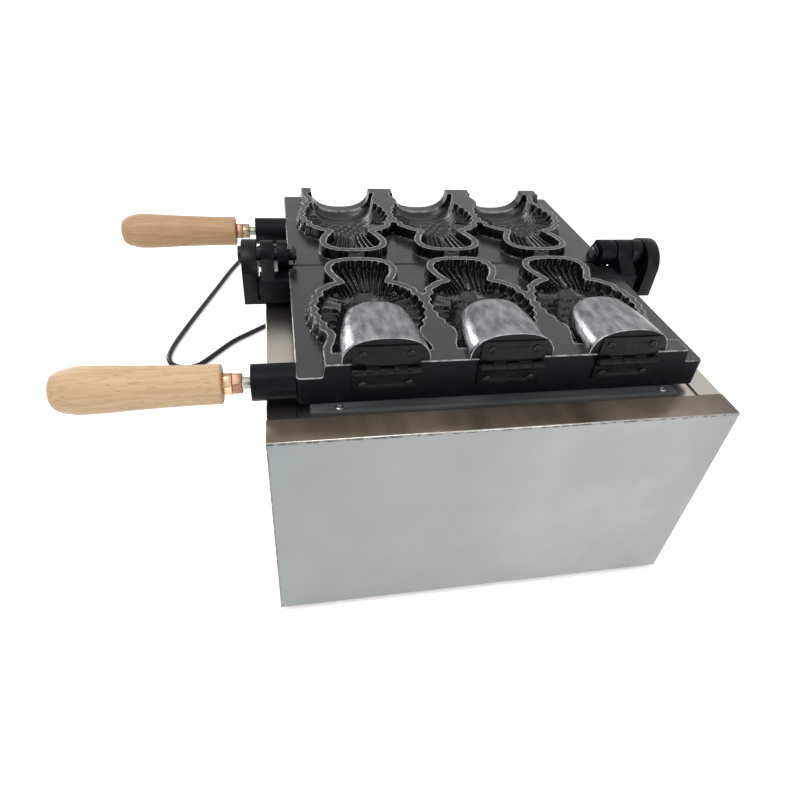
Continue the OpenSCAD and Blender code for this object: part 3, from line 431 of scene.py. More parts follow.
# White printing ink of the scales and the knobs' pointers.
INK = Finish("white_printing_ink", "#e9e8e2", "#dcdad2", 3.0, 0.5, roughness=0.55, grit_mm=0.4)
# Black printing ink of the scales on the bare steel.
BLACK_INK = Finish("black_printing_ink", "#18191b", "#242528", 3.0, 0.5, roughness=0.5, grit_mm=0.4)
# Glossy red rocker.
RED_PLASTIC = Finish("moulded_red_plastic", "#b3261e", "#a3201a", 6.0, 0.5, roughness=0.24, coat=0.3)
# Amber lamp lens.
AMBER = Finish("moulded_amber_lens", "#d2661f", "#e8862f", 4.0, 0.7, roughness=0.14, coat=0.6, ior=1.49)
# Heat-tinted heater sheath: grey-brown with straw and blue bands.
SHEATH = Finish("heater_sheath_steel", "#6f6860", "#55525a", 16.0, 0.9, metallic=1.0, roughness=0.42)
# Unglazed ceramic.
CERAMIC = Finish("unglazed_ceramic", "#e6e1d6", "#d9d2c4", 5.0, 0.6, roughness=0.7, grit_mm=0.4)


@dataclass
class Studio:
    """Floor, soft lights and the camera at the photograph's angle."""

    focal_px: float = 584.25
    azimuth: float = -13.565
    elevation: float = 38.741
    roll: float = 5.491
    eye: Vector = field(default_factory=lambda: Vector((-0.0984, -0.4543, 0.4468)))
    sensor_mm: float = 36.0
    floor_side: float = 30.0
    floor_lift: float = 0.4
    room_low: float = 0.15
    room_high: float = 0.82
    room_way: tuple[float, float, float] = (0.3, 0.15, 1.0)

    def camera(self) -> None:
        """Makes the camera with the photograph's lens, place and roll."""
        a, e, r = (math.radians(v) for v in (self.azimuth, self.elevation, self.roll))
        back = Vector((math.sin(a) * math.cos(e), -math.cos(a) * math.cos(e), math.sin(e)))
        right = (-back).cross(Vector((0, 0, 1))).normalized()
        up = back.cross(right)
        tilted = right * math.cos(r) + up * math.sin(r)
        upright = up * math.cos(r) - right * math.sin(r)
        data = bpy.data.cameras.new("camera")
        data.sensor_width = self.sensor_mm
        data.lens = self.focal_px * self.sensor_mm / IMAGE_SIDE
        data.clip_start = 0.01
        made = bpy.data.objects.new("camera", data)
        axes = Matrix((tilted, upright, back)).transposed()
        made.matrix_world = Matrix.Translation(self.eye) @ axes.to_4x4()
        bpy.context.scene.collection.objects.link(made)
        bpy.context.scene.camera = made

    def lamp(self, name: str, at: Sequence[float], aim: Sequence[float], side: float, watts: float) -> None:
        """Adds one soft square lamp.

        Args:
            name: Lamp's name.
            at: Place of its middle.
            aim: Point it faces.
            side: Length of its side.
            watts: Power.
        """
        data = bpy.data.lights.new(name, "AREA")
        data.shape, data.size, data.energy = "SQUARE", side, watts
        made = bpy.data.objects.new(name, data)
        made.location = at
        made.rotation_mode = "QUATERNION"
        made.rotation_quaternion = (Vector(aim) - Vector(at)).to_track_quat("-Z", "Y")
        bpy.context.scene.collection.objects.link(made)

    def seen(self, tree: Tree) -> Socket:
        """Finds the rays that show the background: the camera's, and those through gloss and glass.

        Args:
            tree: Node tree of the background's material.

        Returns:
            1 for those rays, else 0.
        """
        ray = add_node(tree, "ShaderNodeLightPath").outputs
        shown = combined(tree, "MAXIMUM", ray["Is Camera Ray"], ray["Is Glossy Ray"])
        return combined(tree, "MAXIMUM", shown, ray["Is Transmission Ray"])

    def world(self) -> None:
        """Gives a soft room: bright above and to the right, dimmer towards the ground."""
        world = bpy.data.worlds.new("studio")
        bpy.context.scene.world = world
        world.use_nodes = True
        tree = world.node_tree
        way = add_node(tree, "ShaderNodeTexCoord").outputs["Generated"]
        rise = add_node(tree, "ShaderNodeVectorMath", {0: way, 1: self.room_way}, operation="DOT_PRODUCT")
        room = ramped(tree, rise.outputs["Value"], (-0.1, 0.7), (self.room_low, self.room_high))
        inputs = tree.nodes["Background"].inputs
        inputs["Color"].default_value = (1.0, 1.0, 1.0, 1.0)
        tree.links.new(room, inputs["Strength"])

    def floor(self) -> None:
        """Lays the pale floor, lifted a little where it is seen so that only the shadow shows on it."""
        shape = bmesh.new()
        bmesh.ops.create_grid(shape, x_segments=1, y_segments=1, size=self.floor_side / 2)
        bmesh.ops.recalc_face_normals(shape, faces=shape.faces)
        piece = finished("floor", shape, [])
        made = bpy.data.materials.new("matt_white_paper")
        made.use_nodes = True
        tree = made.node_tree
        shader = tree.nodes["Principled BSDF"]
        shader.inputs["Base Color"].default_value = to_linear("#f4f4f4")
        shader.inputs["Roughness"].default_value = 0.9
        shader.inputs["Emission Color"].default_value = (1.0, 1.0, 1.0, 1.0)
        lift = combined(tree, "MULTIPLY", self.seen(tree), self.floor_lift)
        tree.links.new(lift, shader.inputs["Emission Strength"])
        piece.data.materials.append(made)

    def build(self) -> None:
        """Makes the whole studio."""
        self.camera()
        self.world()
        self.floor()
        self.lamp("key_lamp", (-0.7, -0.3, 1.8), (0, 0, 0.15), 1.2, 14.0)
        self.lamp("window_lamp", (-1.25, 1.6, 0.55), (0, 0, 0.2), 0.8, 12.0)
        self.lamp("front_lamp", (0.7, -1.9, 0.8), (0, 0, 0.1), 1.2, 8.0)
        bpy.context.scene.view_settings.view_transform = "Standard"


def finished(name: str, shape: Shape, finishes: Sequence[Finish], smooth_deg: Optional[float] = 35.0,
             body: Optional[str] = None) -> bpy.types.Object:
    """Turns a bmesh into a finished object at the origin.

    Args:
        name: Piece's name.
        shape: Mesh under construction, freed here.
        finishes: Finishes in the order of the faces' material numbers.
        smooth_deg: Edges blunter than this are shaded smooth; None keeps the edges' own marks.
        body: Frame body that the piece rides on.

    Returns:
        The new object.
    """
    data = bpy.data.meshes.new(name)
    shape.to_mesh(data)
    shape.free()
    for finish in finishes:
        data.materials.append(finish.build())
    if smooth_deg is not None:
        data.shade_smooth()
        data.set_sharp_from_angle(angle=math.radians(smooth_deg))
    made = bpy.data.objects.new(name, data)
    bpy.context.scene.collection.objects.link(made)
    if body:
        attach(made, body)
    return made


def node_body(node: str) -> str:
    """Finds the body that a node belongs to."""
    return next(b for b, nodes in frame["record"]["behaviour"]["bodies"].items() if node in nodes)


def standing_for(node: str, name: str, shape: Shape, finishes: Sequence[Finish],
                 smooth_deg: Optional[float] = 50.0) -> bpy.types.Object:
    """Finishes a piece that rides with a node and takes its place.

    Args:
        node: Frame node to stand for.
        name: New piece's name.
        shape: Its mesh, freed here.
        finishes: Its finishes.
        smooth_deg: Edges blunter than this are shaded smooth; None keeps the edges' own marks.

    Returns:
        The new piece.
    """
    made = finished(name, shape, finishes, smooth_deg, node_body(node))
    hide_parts(node)
    return made


def only(geom: Sequence, kind: type) -> list:
    """Picks the vertices, edges or faces out of an operator's result."""
    return [g for g in geom if isinstance(g, kind)]


def node_shape(node: str) -> Shape:
    """Copies a node's mesh with its corners joined.

    Args:
        node: Frame node to copy.

    Returns:
        The copy, all in the first finish.
    """
    shape = bmesh.new()
    shape.from_mesh(frame["nodes"][node].data)
    bmesh.ops.remove_doubles(shape, verts=shape.verts, dist=0.002 * MM)
    for f in shape.faces:
        f.material_index = 0
    return shape


def softened(node: str, name: str, finishes: Sequence[Finish], width_mm: float = 0.6,
             pick: Optional[Callable[[Vector, Vector], int]] = None, flat_deg: float = 32.0,
             segments: int = 2) -> bpy.types.Object:
    """Makes a piece from a node's own shape with its hard edges rounded.

    Args:
        node: Frame node to stand for.
        name: New piece's name.
        finishes: Its finishes.
        width_mm: Width of the rounding.
        pick: Gives the number of a face's finish from its middle in the cabinet's mm and its normal.
        flat_deg: Edges sharper than this are rounded.
        segments: Faces across the rounding.

    Returns:
        The new piece, which replaces the node.
    """
    shape = node_shape(node)
    round_edges(shape, width_mm, flat_deg, segments)
    if pick:
        for f in shape.faces:
            f.material_index = pick(f.calc_center_median() / MM + ORIGIN, f.normal)
    return standing_for(node, name, shape, finishes)


def smooth_line(points: Sequence[Vector], steps: int) -> list[Vector]:
    """Runs a smooth curve through points.

    Args:
        points: Points that the curve passes.
        steps: Parts of each stretch.

    Returns:
        The points along the curve.
    """
    line = []
    last = len(points) - 1
    for k in range(last):
        a, b, c, d = (points[min(max(k + j, 0), last)] for j in (-1, 0, 1, 2))
        for i in range(steps):
            t = i / steps
            line.append(0.5 * (2 * b + (c - a) * t + (2 * a - 5 * b + 4 * c - d) * t * t
                               + (3 * b - a - 3 * c + d) * t ** 3))
    return line + [points[-1]]


def skinned(shape: Shape, rings: np.ndarray, cap_material: int = 0) -> None:
    """Adds a closed tube through rings of equally many points.

    Args:
        shape: Mesh that takes the tube.
        rings: Points in the frame's metres, as rings by points by 3.
        cap_material: Material number of its first end.
    """
    closed = np.concatenate([rings, rings[:, :1]], axis=1)
    count, around = closed.shape[:2]
    verts = bmesh.ops.create_grid(shape, x_segments=around - 1, y_segments=count - 1, size=1.0)["verts"]
    for v, at in zip(verts, closed.reshape(-1, 3)):
        v.co = at
    side = {f for v in verts for f in v.link_faces}
    ends = [verts[k * around + j] for k in range(count) for j in (0, around - 1)]
    bmesh.ops.remove_doubles(shape, verts=ends, dist=1e-7)
    rims = [e for e in {e for f in side if f.is_valid for e in f.edges} if e.is_boundary]
    low = {tuple(round(c, 7) for c in p) for p in rings[0]}
    for f in bmesh.ops.holes_fill(shape, edges=rims, sides=0)["faces"]:
        first = all(tuple(round(c, 7) for c in v.co) in low for v in f.verts)
        f.material_index = cap_material if first else 0
    bmesh.ops.recalc_face_normals(shape, faces=shape.faces)


def turned(profile: Sequence[tuple[float, float]], base: Vector, axis: Vector, sides: int) -> np.ndarray:
    """Gives the rings of a turned shape.

    Args:
        profile: Radius and distance along the axis of each ring, in mm.
        base: Where the axis starts, in the frame's metres.
        axis: Unit vector along the axis.
        sides: Points in a ring.

    Returns:
        Rings by points by 3.
    """
    across = axis.orthogonal().normalized()
    other = axis.cross(across)
    angles = np.linspace(0, 2 * math.pi, sides, endpoint=False)
    round_points = np.outer(np.cos(angles), across) + np.outer(np.sin(angles), other)
    return np.array([np.array(base) + np.array(axis) * a * MM + round_points * max(r, 1e-3) * MM
                     for r, a in profile])


def round_edges(shape: Shape, width_mm: float, flat_deg: float, segments: int,
                cuts: Sequence[tuple[Vector, Vector]] = ()) -> None:
    """Rounds the hard edges of a shape.

    Args:
        shape: Mesh to change.
        width_mm: Width of the rounding.
        flat_deg: Edges sharper than this are rounded.
        segments: Faces across the rounding.
        cuts: Point and normal of the planes whose edges stay sharp.
    """
    bmesh.ops.dissolve_limit(shape, angle_limit=math.radians(1.0), verts=shape.verts, edges=shape.edges)
    hard = []
    for e in shape.edges:
        middle = (e.verts[0].co + e.verts[1].co) / 2
        on_cut = any(abs((middle - at).dot(way)) < 0.02 * MM for at, way in cuts)
        if len(e.link_faces) == 2 and not on_cut and e.calc_face_angle(0) > math.radians(flat_deg):
            hard.append(e)
    bmesh.ops.bevel(shape, geom=hard, offset=width_mm * MM, segments=segments, affect="EDGES", profile=0.5,
                    material=-1, clamp_overlap=True)


class Half(Enum):
    """Which of the two mould plates a shape belongs to."""

    FRONT = "front"
    REAR = "rear"


@dataclass
class FishRelief:
    """Relief of one fish mould: u across it, s along it from its mouth, heights from the parting plane."""

    # Wall before the mouth, raised rim round the cavity, and the raised blocks between the fish.
    wall: float = 14.0
    wall_land: float = 1.0
    rim: float = 6.0
    rim_height: float = 10.0
    rim_gap: float = 0.15
    block_left: float = 40.5
    block_right: float = 49.0
    fill_length: float = 74.0
    # Width of the slopes at the body and at the fins.
    draft: float = 1.3
    fin_draft: float = 3.2
    # The deep body, its pointed end, and the mouth's arch in the rear half.
    body_depth: float = 27.0
    tip_half: float = 3.0
    tip_share: float = 0.3
    fullness: float = 2.4
    arch_half: float = 30.6
    arch_depth: float = 20.1
    # The fins' reach along the fish and their flutes.
    fin_depth: float = 9.0
    fin_span: tuple[float, float] = (42.0, 102.0)
    fin_ramp: float = 4.0
    fin_flutes: int = 6
    fin_scallop: float = 2.0
    fin_ridge_height: float = 4.4
    # The tail's fan: tail_fan gives its half width as a polynomial of the distance from its start.
    tail_start: float = 104.0
    tail_from: float = 120.0
    tail_fan: tuple[float, float, float] = (0.0042, 0.16, 15.5)
    tail_rise_from: float = 98.0
    tail_rise_over: float = 8.0
    tail_flutes: int = 9
    tail_scallop: float = 0.8
    tail_rim: float = 0.4
    tail_ridge_height: float = 3.6
    ridge_rounding: float = 0.35
    # Scales and the gill's line.
    scale_pitch: float = 7.0
    scale_width: float = 1.15
    scale_radius: float = 0.52
    scale_foot: float = 1.2
    scale_start: float = 38.0
    scale_span: tuple[float, float] = (40.0, 102.0)
    scale_line: float = 0.9
    scale_height: float = 1.3
    gill_start: float = 33.0
    gill_bow: float = 110.0
    gill_line: float = 1.4
    gill_height: float = 1.2
    # Half of the outline as u and s, and the body as half width, s and share of its depth.
    outline: tuple = ((34.5, 14), (34, 20), (31.5, 28), (30, 36), (32, 44), (35.5, 54), (38, 62), (39, 72),
                      (38.5, 82), (34.5, 92), (31, 100), (25.5, 106), (18, 109.5), (16, 113), (18.5, 119),
                      (21.5, 126), (24, 135), (22, 143.5), (18.5, 146.8), (14, 149), (7.5, 150.2), (0, 150.5))
    body: tuple = ((34, 14, 0.8), (33.5, 20, 0.96), (31, 28, 1.0), (29.5, 36, 1.0), (29.5, 50, 0.98),
                   (28, 66, 0.92), (24, 80, 0.8), (18.5, 92, 0.6), (13, 102, 0.42), (7, 110, 0.34))
    # Table of the distances to the outline.
    table_step: float = 0.4
    table_low: float = -6.0
    table_size: tuple[int, int] = (160, 430)

    def __post_init__(self) -> None:
        """Tabulates the distance to the outline, which every height needs."""
        across, along = (np.arange(n) * self.table_step + self.table_low for n in self.table_size)
        self.far, self.along = self.measured(*np.meshgrid(across, along, indexing="ij"))
        self.body_line = np.array([tuple(p) for p in smooth_line([Vector(p) for p in self.body], 5)])

    def measured(self, u: np.ndarray, s: np.ndarray) -> tuple[np.ndarray, np.ndarray]:
        """Measures how far points lie from the outline.

        Args:
            u: Their places across the fish.
            s: Their places along it.

        Returns:
            The distances, negative inside, and s of the nearest points on the outline.
        """
        half = np.array([tuple(p)[:2] for p in smooth_line([Vector((*p, 0)) for p in self.outline], 6)])
        points = np.vstack([half, (half * (-1, 1))[::-1][1:]])
        nearest, along = np.full(u.shape, 1e9), np.zeros(u.shape)
        inside = np.zeros(u.shape, bool)
        for (ax, ay), (bx, by) in zip(points, np.roll(points, -1, axis=0)):
            dx, dy = bx - ax, by - ay
            t = np.clip(((u - ax) * dx + (s - ay) * dy) / max(dx * dx + dy * dy, 1e-12), 0, 1)
            gap = np.hypot(u - ax - t * dx, s - ay - t * dy)
            along = np.where(gap < nearest, ay + t * dy, along)
            nearest = np.minimum(gap, nearest)
            if dy:
                inside ^= ((ay > s) != (by > s)) & (u < ax + (s - ay) * dx / dy)
        return np.where(inside, -nearest, nearest), along

    def looked_up(self, table: np.ndarray, u: np.ndarray, s: np.ndarray) -> np.ndarray:
        """Reads a table between its points.

        Args:
            table: One of the two tables.
            u: Places across the fish.
            s: Places along it.

        Returns:
            The values there.
        """
        a, b = (np.clip((v - self.table_low) / self.table_step, 0, n - 1.001)
                for v, n in zip((np.abs(u), s), self.table_size))
        i, j = a.astype(int), b.astype(int)
        f, g = a - i, b - j
        return ((1 - f) * (1 - g) * table[i, j] + f * (1 - g) * table[i + 1, j]
                + (1 - f) * g * table[i, j + 1] + f * g * table[i + 1, j + 1])

    def crest(self, wave: np.ndarray) -> np.ndarray:
        """Turns a wave of -1 to 1 into 1 on the narrow rounded ridges at its zeros and 0 at its ends."""
        e = self.ridge_rounding
        return (math.hypot(1, e) - np.hypot(wave, e)) / (math.hypot(1, e) - e)

    def fin_ridge(self, along: np.ndarray) -> np.ndarray:
        """Gives 1 on the ridges between the fins' flutes and 0 along the flutes' middles."""
        share = (along - self.fin_span[0]) / (self.fin_span[1] - self.fin_span[0])
        return np.where((share > 0) & (share < 1), self.crest(np.sin(np.pi * self.fin_flutes * share)), 1.0)

    def tail_ridge(self, u: np.ndarray, s: np.ndarray) -> np.ndarray:
        """Gives 1 on the ridges of the tail's curved fan and 0 along its flutes' middles."""
        spread = np.polyval(self.tail_fan, np.maximum(s - self.tail_start, 0))
        return self.crest(np.cos(np.pi / 2 * self.tail_flutes * np.clip(u / spread, -1.4, 1.4)))

    def gaps(self, u: np.ndarray, s: np.ndarray) -> tuple[np.ndarray, np.ndarray]:
        """Gives the distances to the cavity's edge and to the rim's outer edge.

        Args:
            u: Places across the fish.
            s: Places along it.

        Returns:
            Both, negative inside. The cavity's edge has all scallops, the rim's only the fins'.
        """
        along, far = (self.looked_up(table, u, s) for table in (self.along, self.far))
        fin = (1 - self.fin_ridge(along)) * self.fin_scallop
        tail = np.where(along > self.tail_from, (1 - self.tail_ridge(u, s)) * self.tail_scallop, 0)
        at_fins = along < self.fin_span[1]
        return far - np.where(at_fins, fin, tail), far - np.where(at_fins, fin, self.tail_rim) - self.rim

    def in_fins(self, along: np.ndarray) -> np.ndarray:
        """Gives 1 beside the fins and 0 elsewhere, with short ramps."""
        rises = (along - self.fin_span[0], self.fin_span[1] - along)
        return np.prod([np.clip(rise / self.fin_ramp + 0.5, 0, 1) for rise in rises], axis=0)

    def scales(self, u: np.ndarray, s: np.ndarray) -> np.ndarray:
        """Draws the scales as rows of crescents.

        Args:
            u: Places across the fish.
            s: Places along it.

        Returns:
            1 on the crescents' lines and 0 between them.
        """
        total = np.zeros(u.shape)
        step = self.scale_pitch * self.scale_width
        for shift in (0, 1):
            row = np.floor((s - self.scale_start) / self.scale_pitch) - shift
            middle = self.scale_start + self.scale_pitch * row
            offset = np.where(row % 2 == 0, 0.0, step / 2)
            column = np.round((u - offset) / step) * step + offset
            reach = np.hypot(u - column, s - middle)
            line = np.exp(-((reach - step * self.scale_radius) / self.scale_line) ** 2)
            total = np.maximum(total, line * (s > middle + self.scale_foot))
        return total * ((s > self.scale_span[0]) & (s < self.scale_span[1]))

    def floor(self, u: np.ndarray, s: np.ndarray) -> np.ndarray:
        """Shapes the cavity's floor: the deep scaled body, the fluted fins and the tail's fan.

        Args:
            u: Places across the fish.
            s: Places along it.

        Returns:
            The floor's heights, negative below the parting plane.
        """
        half = np.interp(s, self.body_line[:, 1], self.body_line[:, 0], right=self.tip_half)
        share = np.interp(s, self.body_line[:, 1], self.body_line[:, 2], right=self.tip_share)
        across = np.clip(np.abs(u) / half, 0, 1)
        body = -share * self.body_depth * (1 - across ** self.fullness) ** (1 / self.fullness)
        gill = np.exp(-((s - self.gill_start - u * u / self.gill_bow) / self.gill_line) ** 2)
        relief = self.scales(u, s) * self.scale_height + gill * self.gill_height
        body = body + relief * (1 - across ** 4)
        along = self.looked_up(self.along, u, s)
        fins = -self.fin_depth + self.fin_ridge_height * self.fin_ridge(along) ** 1.2 * self.in_fins(along)
        rise = np.clip((s - self.tail_rise_from) / self.tail_rise_over, 0, 1)
        tail = -self.fin_depth + self.tail_ridge_height * self.tail_ridge(u, s) * rise
        return np.minimum(body, np.where(s > self.tail_start, tail, fins))


@dataclass
class MouldPlate:
    """One cast mould plate with its three fish, laid open beside the hinge line.

    The rear half is the front half's mirror image at the hinge line, so its points are worked out as the
    front half's and then mirrored.
    """

    half: Half
    relief: FishRelief
    # Slab.
    side: float = 149.0
    back: float = 195.7
    slab_bottom: float = 193.0
    chamfer: float = 0.7
    edge_band: float = 1.2
    corner: float = 3.0
    # Grid over the top: fine over the fish, coarse where the slab is flat.
    step: float = 0.68
    coarse_step: float = 2.0
    fine_x: tuple[float, float] = (-131.5, 134.0)
    fine_y: tuple[float, float] = (45.5, 190.0)
    snap_reach: float = 0.52
    # Normals: how far inside its face a corner's slope is read, and how alike a point's must be to share one.
    slope_pull: float = 0.35
    alike: float = 0.93
    # Rubbed edges with their painted highlight, and openness, that the coating's material reads; near the
    # hinge line both are zeroed, which paints shade there.
    wear_and_highlight_width: float = 0.7
    wear_and_highlight_facing: float = 0.85
    chamfer_wear_and_highlight: float = 0.75
    chamfer_open: float = 0.8
    hinge_shade: float = 1.3
    # Grooves over the hinge pins, from x to x.
    grooves: tuple = ((-159.0, -146.0), (135.0, 151.5))
    groove_radius: float = 12.5
    # Cuts that part the ears, the handle's boss and the rear half's right knuckle from the slab.
    cut_play: float = 0.02
    boss_end: float = -178.3
    knuckle_x: float = 134.0
    knuckle_foot: float = 215.02
    knuckle_slope: tuple = ((0, 213.0, 215.0), (0, -0.894, -0.447))
    nose_y: float = 196.3
    ear_rounding: float = 0.7

    @property
    def node(self) -> str:
        """Frame node of this plate."""
        return f"{self.half.value}_plate"

    def edges(self, x: np.ndarray, y: np.ndarray) -> tuple[np.ndarray, np.ndarray]:
        """Gives the distances to the nearest cavity's edge and to the raised area's outer edge.

        Args:
            x: Places along the hinge line.
            y: Places across it.

        Returns:
            Both, negative inside.
        """
        rel, s = self.relief, y - PLATE_FRONT
        cavity, rim = (np.min(gaps, axis=0) for gaps in zip(*(rel.gaps(x - c, s) for c in FISH_X)))
        low, high = FISH_X[0], FISH_X[-1]
        across = np.maximum(low - rel.block_left - x, x - high - rel.block_right)
        block = np.maximum(across, s - rel.wall - rel.wall_land)
        fill = np.maximum(np.maximum(low - x, x - high), s - rel.fill_length)
        return cavity, np.minimum(np.minimum(rim, fill), block)

    def height(self, x: np.ndarray, y: np.ndarray) -> np.ndarray:
        """Gives the height of the casting's top.

        Args:
            x: Places along the hinge line.
            y: Places across it.

        Returns:
            The heights above the table.
        """
        rel = self.relief
        cavity, raised = self.edges(x, y)
        near = np.argmin([np.abs(x - c) for c in FISH_X], axis=0)
        u, s = x - np.array(FISH_X)[near], y - PLATE_FRONT
        fins = rel.in_fins(rel.looked_up(rel.along, u, s))
        drop = np.clip(raised / (rel.draft + fins), 0, 1)
        sink = np.clip(-cavity / (rel.draft + (rel.fin_draft - rel.draft) * fins), 0, 1)
        outer = -rel.rim_gap - (rel.rim_height - rel.rim_gap) * drop * (2 - drop)
        inner = -rel.rim_gap + (rel.floor(u, s) + rel.rim_gap) * sink * (2 - sink)
        z = np.where(cavity > 0, outer, inner)
        if self.half is Half.REAR:
            across = np.clip(np.abs(u) / rel.arch_half, 0, 1)
            arch = -rel.arch_depth * (1 - across ** rel.fullness) ** (1 / rel.fullness)
            z = np.where((s < rel.wall + 2 * rel.draft) & (across < 1), np.minimum(z, arch), z)
        else:
            dip = -np.sqrt(np.maximum(self.groove_radius ** 2 - (y - HINGE_Y) ** 2, 0))
            for low, high in self.grooves:
                z = np.where((x > low) & (x < high), np.minimum(z, dip), z)
        return z + PARTING

    def snapped(self, x: np.ndarray, y: np.ndarray) -> tuple[np.ndarray, np.ndarray]:
        """Moves the grid's points beside an edge of the relief onto it, so that the edges run clean.

        Args:
            x: The points' places along the hinge line.
            y: Their places across it.

        Returns:
            The moved places.
        """
        probe, border = 0.05, 1.5
        fixed = (y < PLATE_FRONT + border) | (y > self.back - border) | (np.abs(x) > self.side - border)
        for which, level in ((0, 0.0), (1, 0.0), (1, self.relief.draft)):
            here = self.edges(x, y)[which]
            gx = (self.edges(x + probe, y)[which] - here) / probe
            gy = (self.edges(x, y + probe)[which] - here) / probe
            off = here - level
            near = (np.abs(off) < self.snap_reach * self.step) & ~fixed
            size = np.maximum(gx * gx + gy * gy, 0.25)
            x, y = np.where(near, x - off * gx / size, x), np.where(near, y - off * gy / size, y)
        return x, y

    def rounded(self, x: np.ndarray, y: np.ndarray) -> tuple[np.ndarray, np.ndarray]:
        """Draws the slab's two outer corners in to their radius.

        Args:
            x: The points' places along the hinge line.
            y: Their places across it.

        Returns:
            The moved places.
        """
        radius = self.corner - self.chamfer
        cy = PLATE_FRONT + self.corner
        for cx, side in ((self.corner - self.side, -1), (self.side - self.corner, 1)):
            dx, dy = (x - cx) * side, cy - y
            inside = (dx > 0) & (dy > 0)
            pull = np.where(inside, np.maximum(dx, dy) / np.maximum(np.hypot(dx, dy), 1e-9), 1.0)
            pull = np.where(np.maximum(dx, dy) > 0.5 * radius, pull, 1.0)
            x, y = np.where(inside, cx + (x - cx) * pull, x), np.where(inside, cy + (y - cy) * pull, y)
        return x, y

    def normals(self, x: np.ndarray, y: np.ndarray) -> np.ndarray:
        """Works out the surface's normals from its slope.

        Args:
            x: Places along the hinge line.
            y: Places across it.

        Returns:
            One unit vector a place.
        """
        d = 0.1
        across = (self.height(x + d, y) - self.height(x - d, y)) / (2 * d)
        along = (self.height(x, y + d) - self.height(x, y - d)) / (2 * d)
        rows = np.stack([-across, -along, np.ones(x.shape)], axis=1)
        return rows / np.linalg.norm(rows, axis=1, keepdims=True)

    def lines(self, low: float, high: float, fine: tuple[float, float]) -> np.ndarray:
        """Spaces the grid's lines along one axis.

        Args:
            low: First line.
            high: Last line.
            fine: Span in which they lie close together.

        Returns:
            The lines' places.
        """
        before = np.linspace(low, fine[0], max(round((fine[0] - low) / self.coarse_step), 1), endpoint=False)
        close = np.linspace(fine[0], fine[1], round((fine[1] - fine[0]) / self.step), endpoint=False)
        after = np.linspace(fine[1], high, round((high - fine[1]) / self.coarse_step) + 1)
        return np.concatenate([before, close, after])

    def casting(self) -> None:
        """Builds the slab with its relief as one closed mesh."""
        lines_x = self.lines(self.chamfer - self.side, self.side - self.chamfer, self.fine_x)
        lines_y = self.lines(PLATE_FRONT + self.chamfer, self.back - self.chamfer, self.fine_y)
        flat_y, flat_x = (a.ravel() for a in np.meshgrid(lines_y, lines_x, indexing="ij"))
        x, y = self.snapped(*self.rounded(flat_x, flat_y))
        shape = bmesh.new()
        verts = bmesh.ops.create_grid(shape, x_segments=len(lines_x) - 1, y_segments=len(lines_y) - 1,
                                      size=1.0)["verts"]
        turn = -1 if self.half is Half.REAR else 1
        for v, px, py, pz in zip(verts, x, y, self.height(x, y)):
            v.co = place(px, HINGE_Y + turn * (py - HINGE_Y), pz)
        self.skirt(shape)
        bmesh.ops.recalc_face_normals(shape, faces=shape.faces)
        made = standing_for(self.node, f"{self.node}_casting", shape, [COATING, STOVE_PAINT], None)
        self.shaded(made.data, x, y, turn)

    def shaded(self, data: bpy.types.Mesh, x: np.ndarray, y: np.ndarray, turn: int) -> None:
        """Gives the casting its normals and the two layers that the coating's material reads.

        Args:
            data: The finished mesh, whose first vertices are the grid's.
            x: The grid's points along the hinge line.
            y: The grid's points across it.
            turn: -1 where the half is mirrored, else 1.
        """
        corners, rows = self.corner_normals(data, x, y)
        data.normals_split_custom_set(rows * (1, turn, 1))
        # Bright lines along up-facing edges and on the chamfer: rubbed coating and painted highlight.
        wear_and_highlight = np.clip(sum(np.exp(-(gap / self.wear_and_highlight_width) ** 2) for gap in self.edges(x, y)), 0, 1)
        on_grid = rows[:, 2] > 0
        facing = np.where(on_grid, rows[:, 2], self.chamfer_open)
        worn_and_highlit = wear_and_highlight[np.minimum(corners, len(wear_and_highlight) - 1)] * (rows[:, 2] > self.wear_and_highlight_facing)
        worn_and_highlit = np.where(on_grid, worn_and_highlit, self.chamfer_wear_and_highlight)
        spots = np.array([v.co.y for v in data.vertices])[corners] / MM + ORIGIN.y
        # Within hinge_shade of the hinge line the corners lose their openness and their bright edge lines,
        # which paints shade where the two plates meet.
        away = np.abs(spots - HINGE_Y) >= self.hinge_shade
        for name, values in (("face_open", facing ** 3), ("edge_wear_and_highlight", worn_and_highlit)):
            made = data.attributes.new(name, "FLOAT", "CORNER")
            made.data.foreach_set("value", (values * away).astype(np.float32))

    def corner_normals(self, data: bpy.types.Mesh, x: np.ndarray,
                       y: np.ndarray) -> tuple[np.ndarray, np.ndarray]:
        """Works out a normal for each face corner of the grid, so that the relief's edges stay crisp.

        Args:
            data: The finished mesh, whose first vertices are the grid's.
            x: The grid's points along the hinge line.
            y: The grid's points across it.

        Returns:
            Each corner's vertex, and one normal a corner, zero where the mesh's own normal serves.
        """
        points = np.empty(len(data.loops), np.int32)
        data.loops.foreach_get("vertex_index", points)
        starts, totals = (np.empty(len(data.polygons), np.int32) for _ in range(2))
        data.polygons.foreach_get("loop_start", starts)
        data.polygons.foreach_get("loop_total", totals)
        on_grid = np.repeat(np.maximum.reduceat(points, starts) < len(x), totals)
        held = np.minimum(points, len(x) - 1)
        middle = [np.repeat(np.add.reduceat(a[held], starts) / totals, totals) for a in (x, y)]
        inside = [a[held] + self.slope_pull * (m - a[held]) for a, m in zip((x, y), middle)]
        rows = np.zeros((len(points), 3))
        rows[on_grid] = self.normals(inside[0][on_grid], inside[1][on_grid])
        mean = np.zeros((len(x), 3))
        np.add.at(mean, points[on_grid], rows[on_grid])
        mean /= np.maximum(np.linalg.norm(mean, axis=1, keepdims=True), 1e-9)
        near = on_grid & ((rows * mean[held]).sum(axis=1) > self.alike)
        rows[near] = mean[held[near]]
        return points, rows

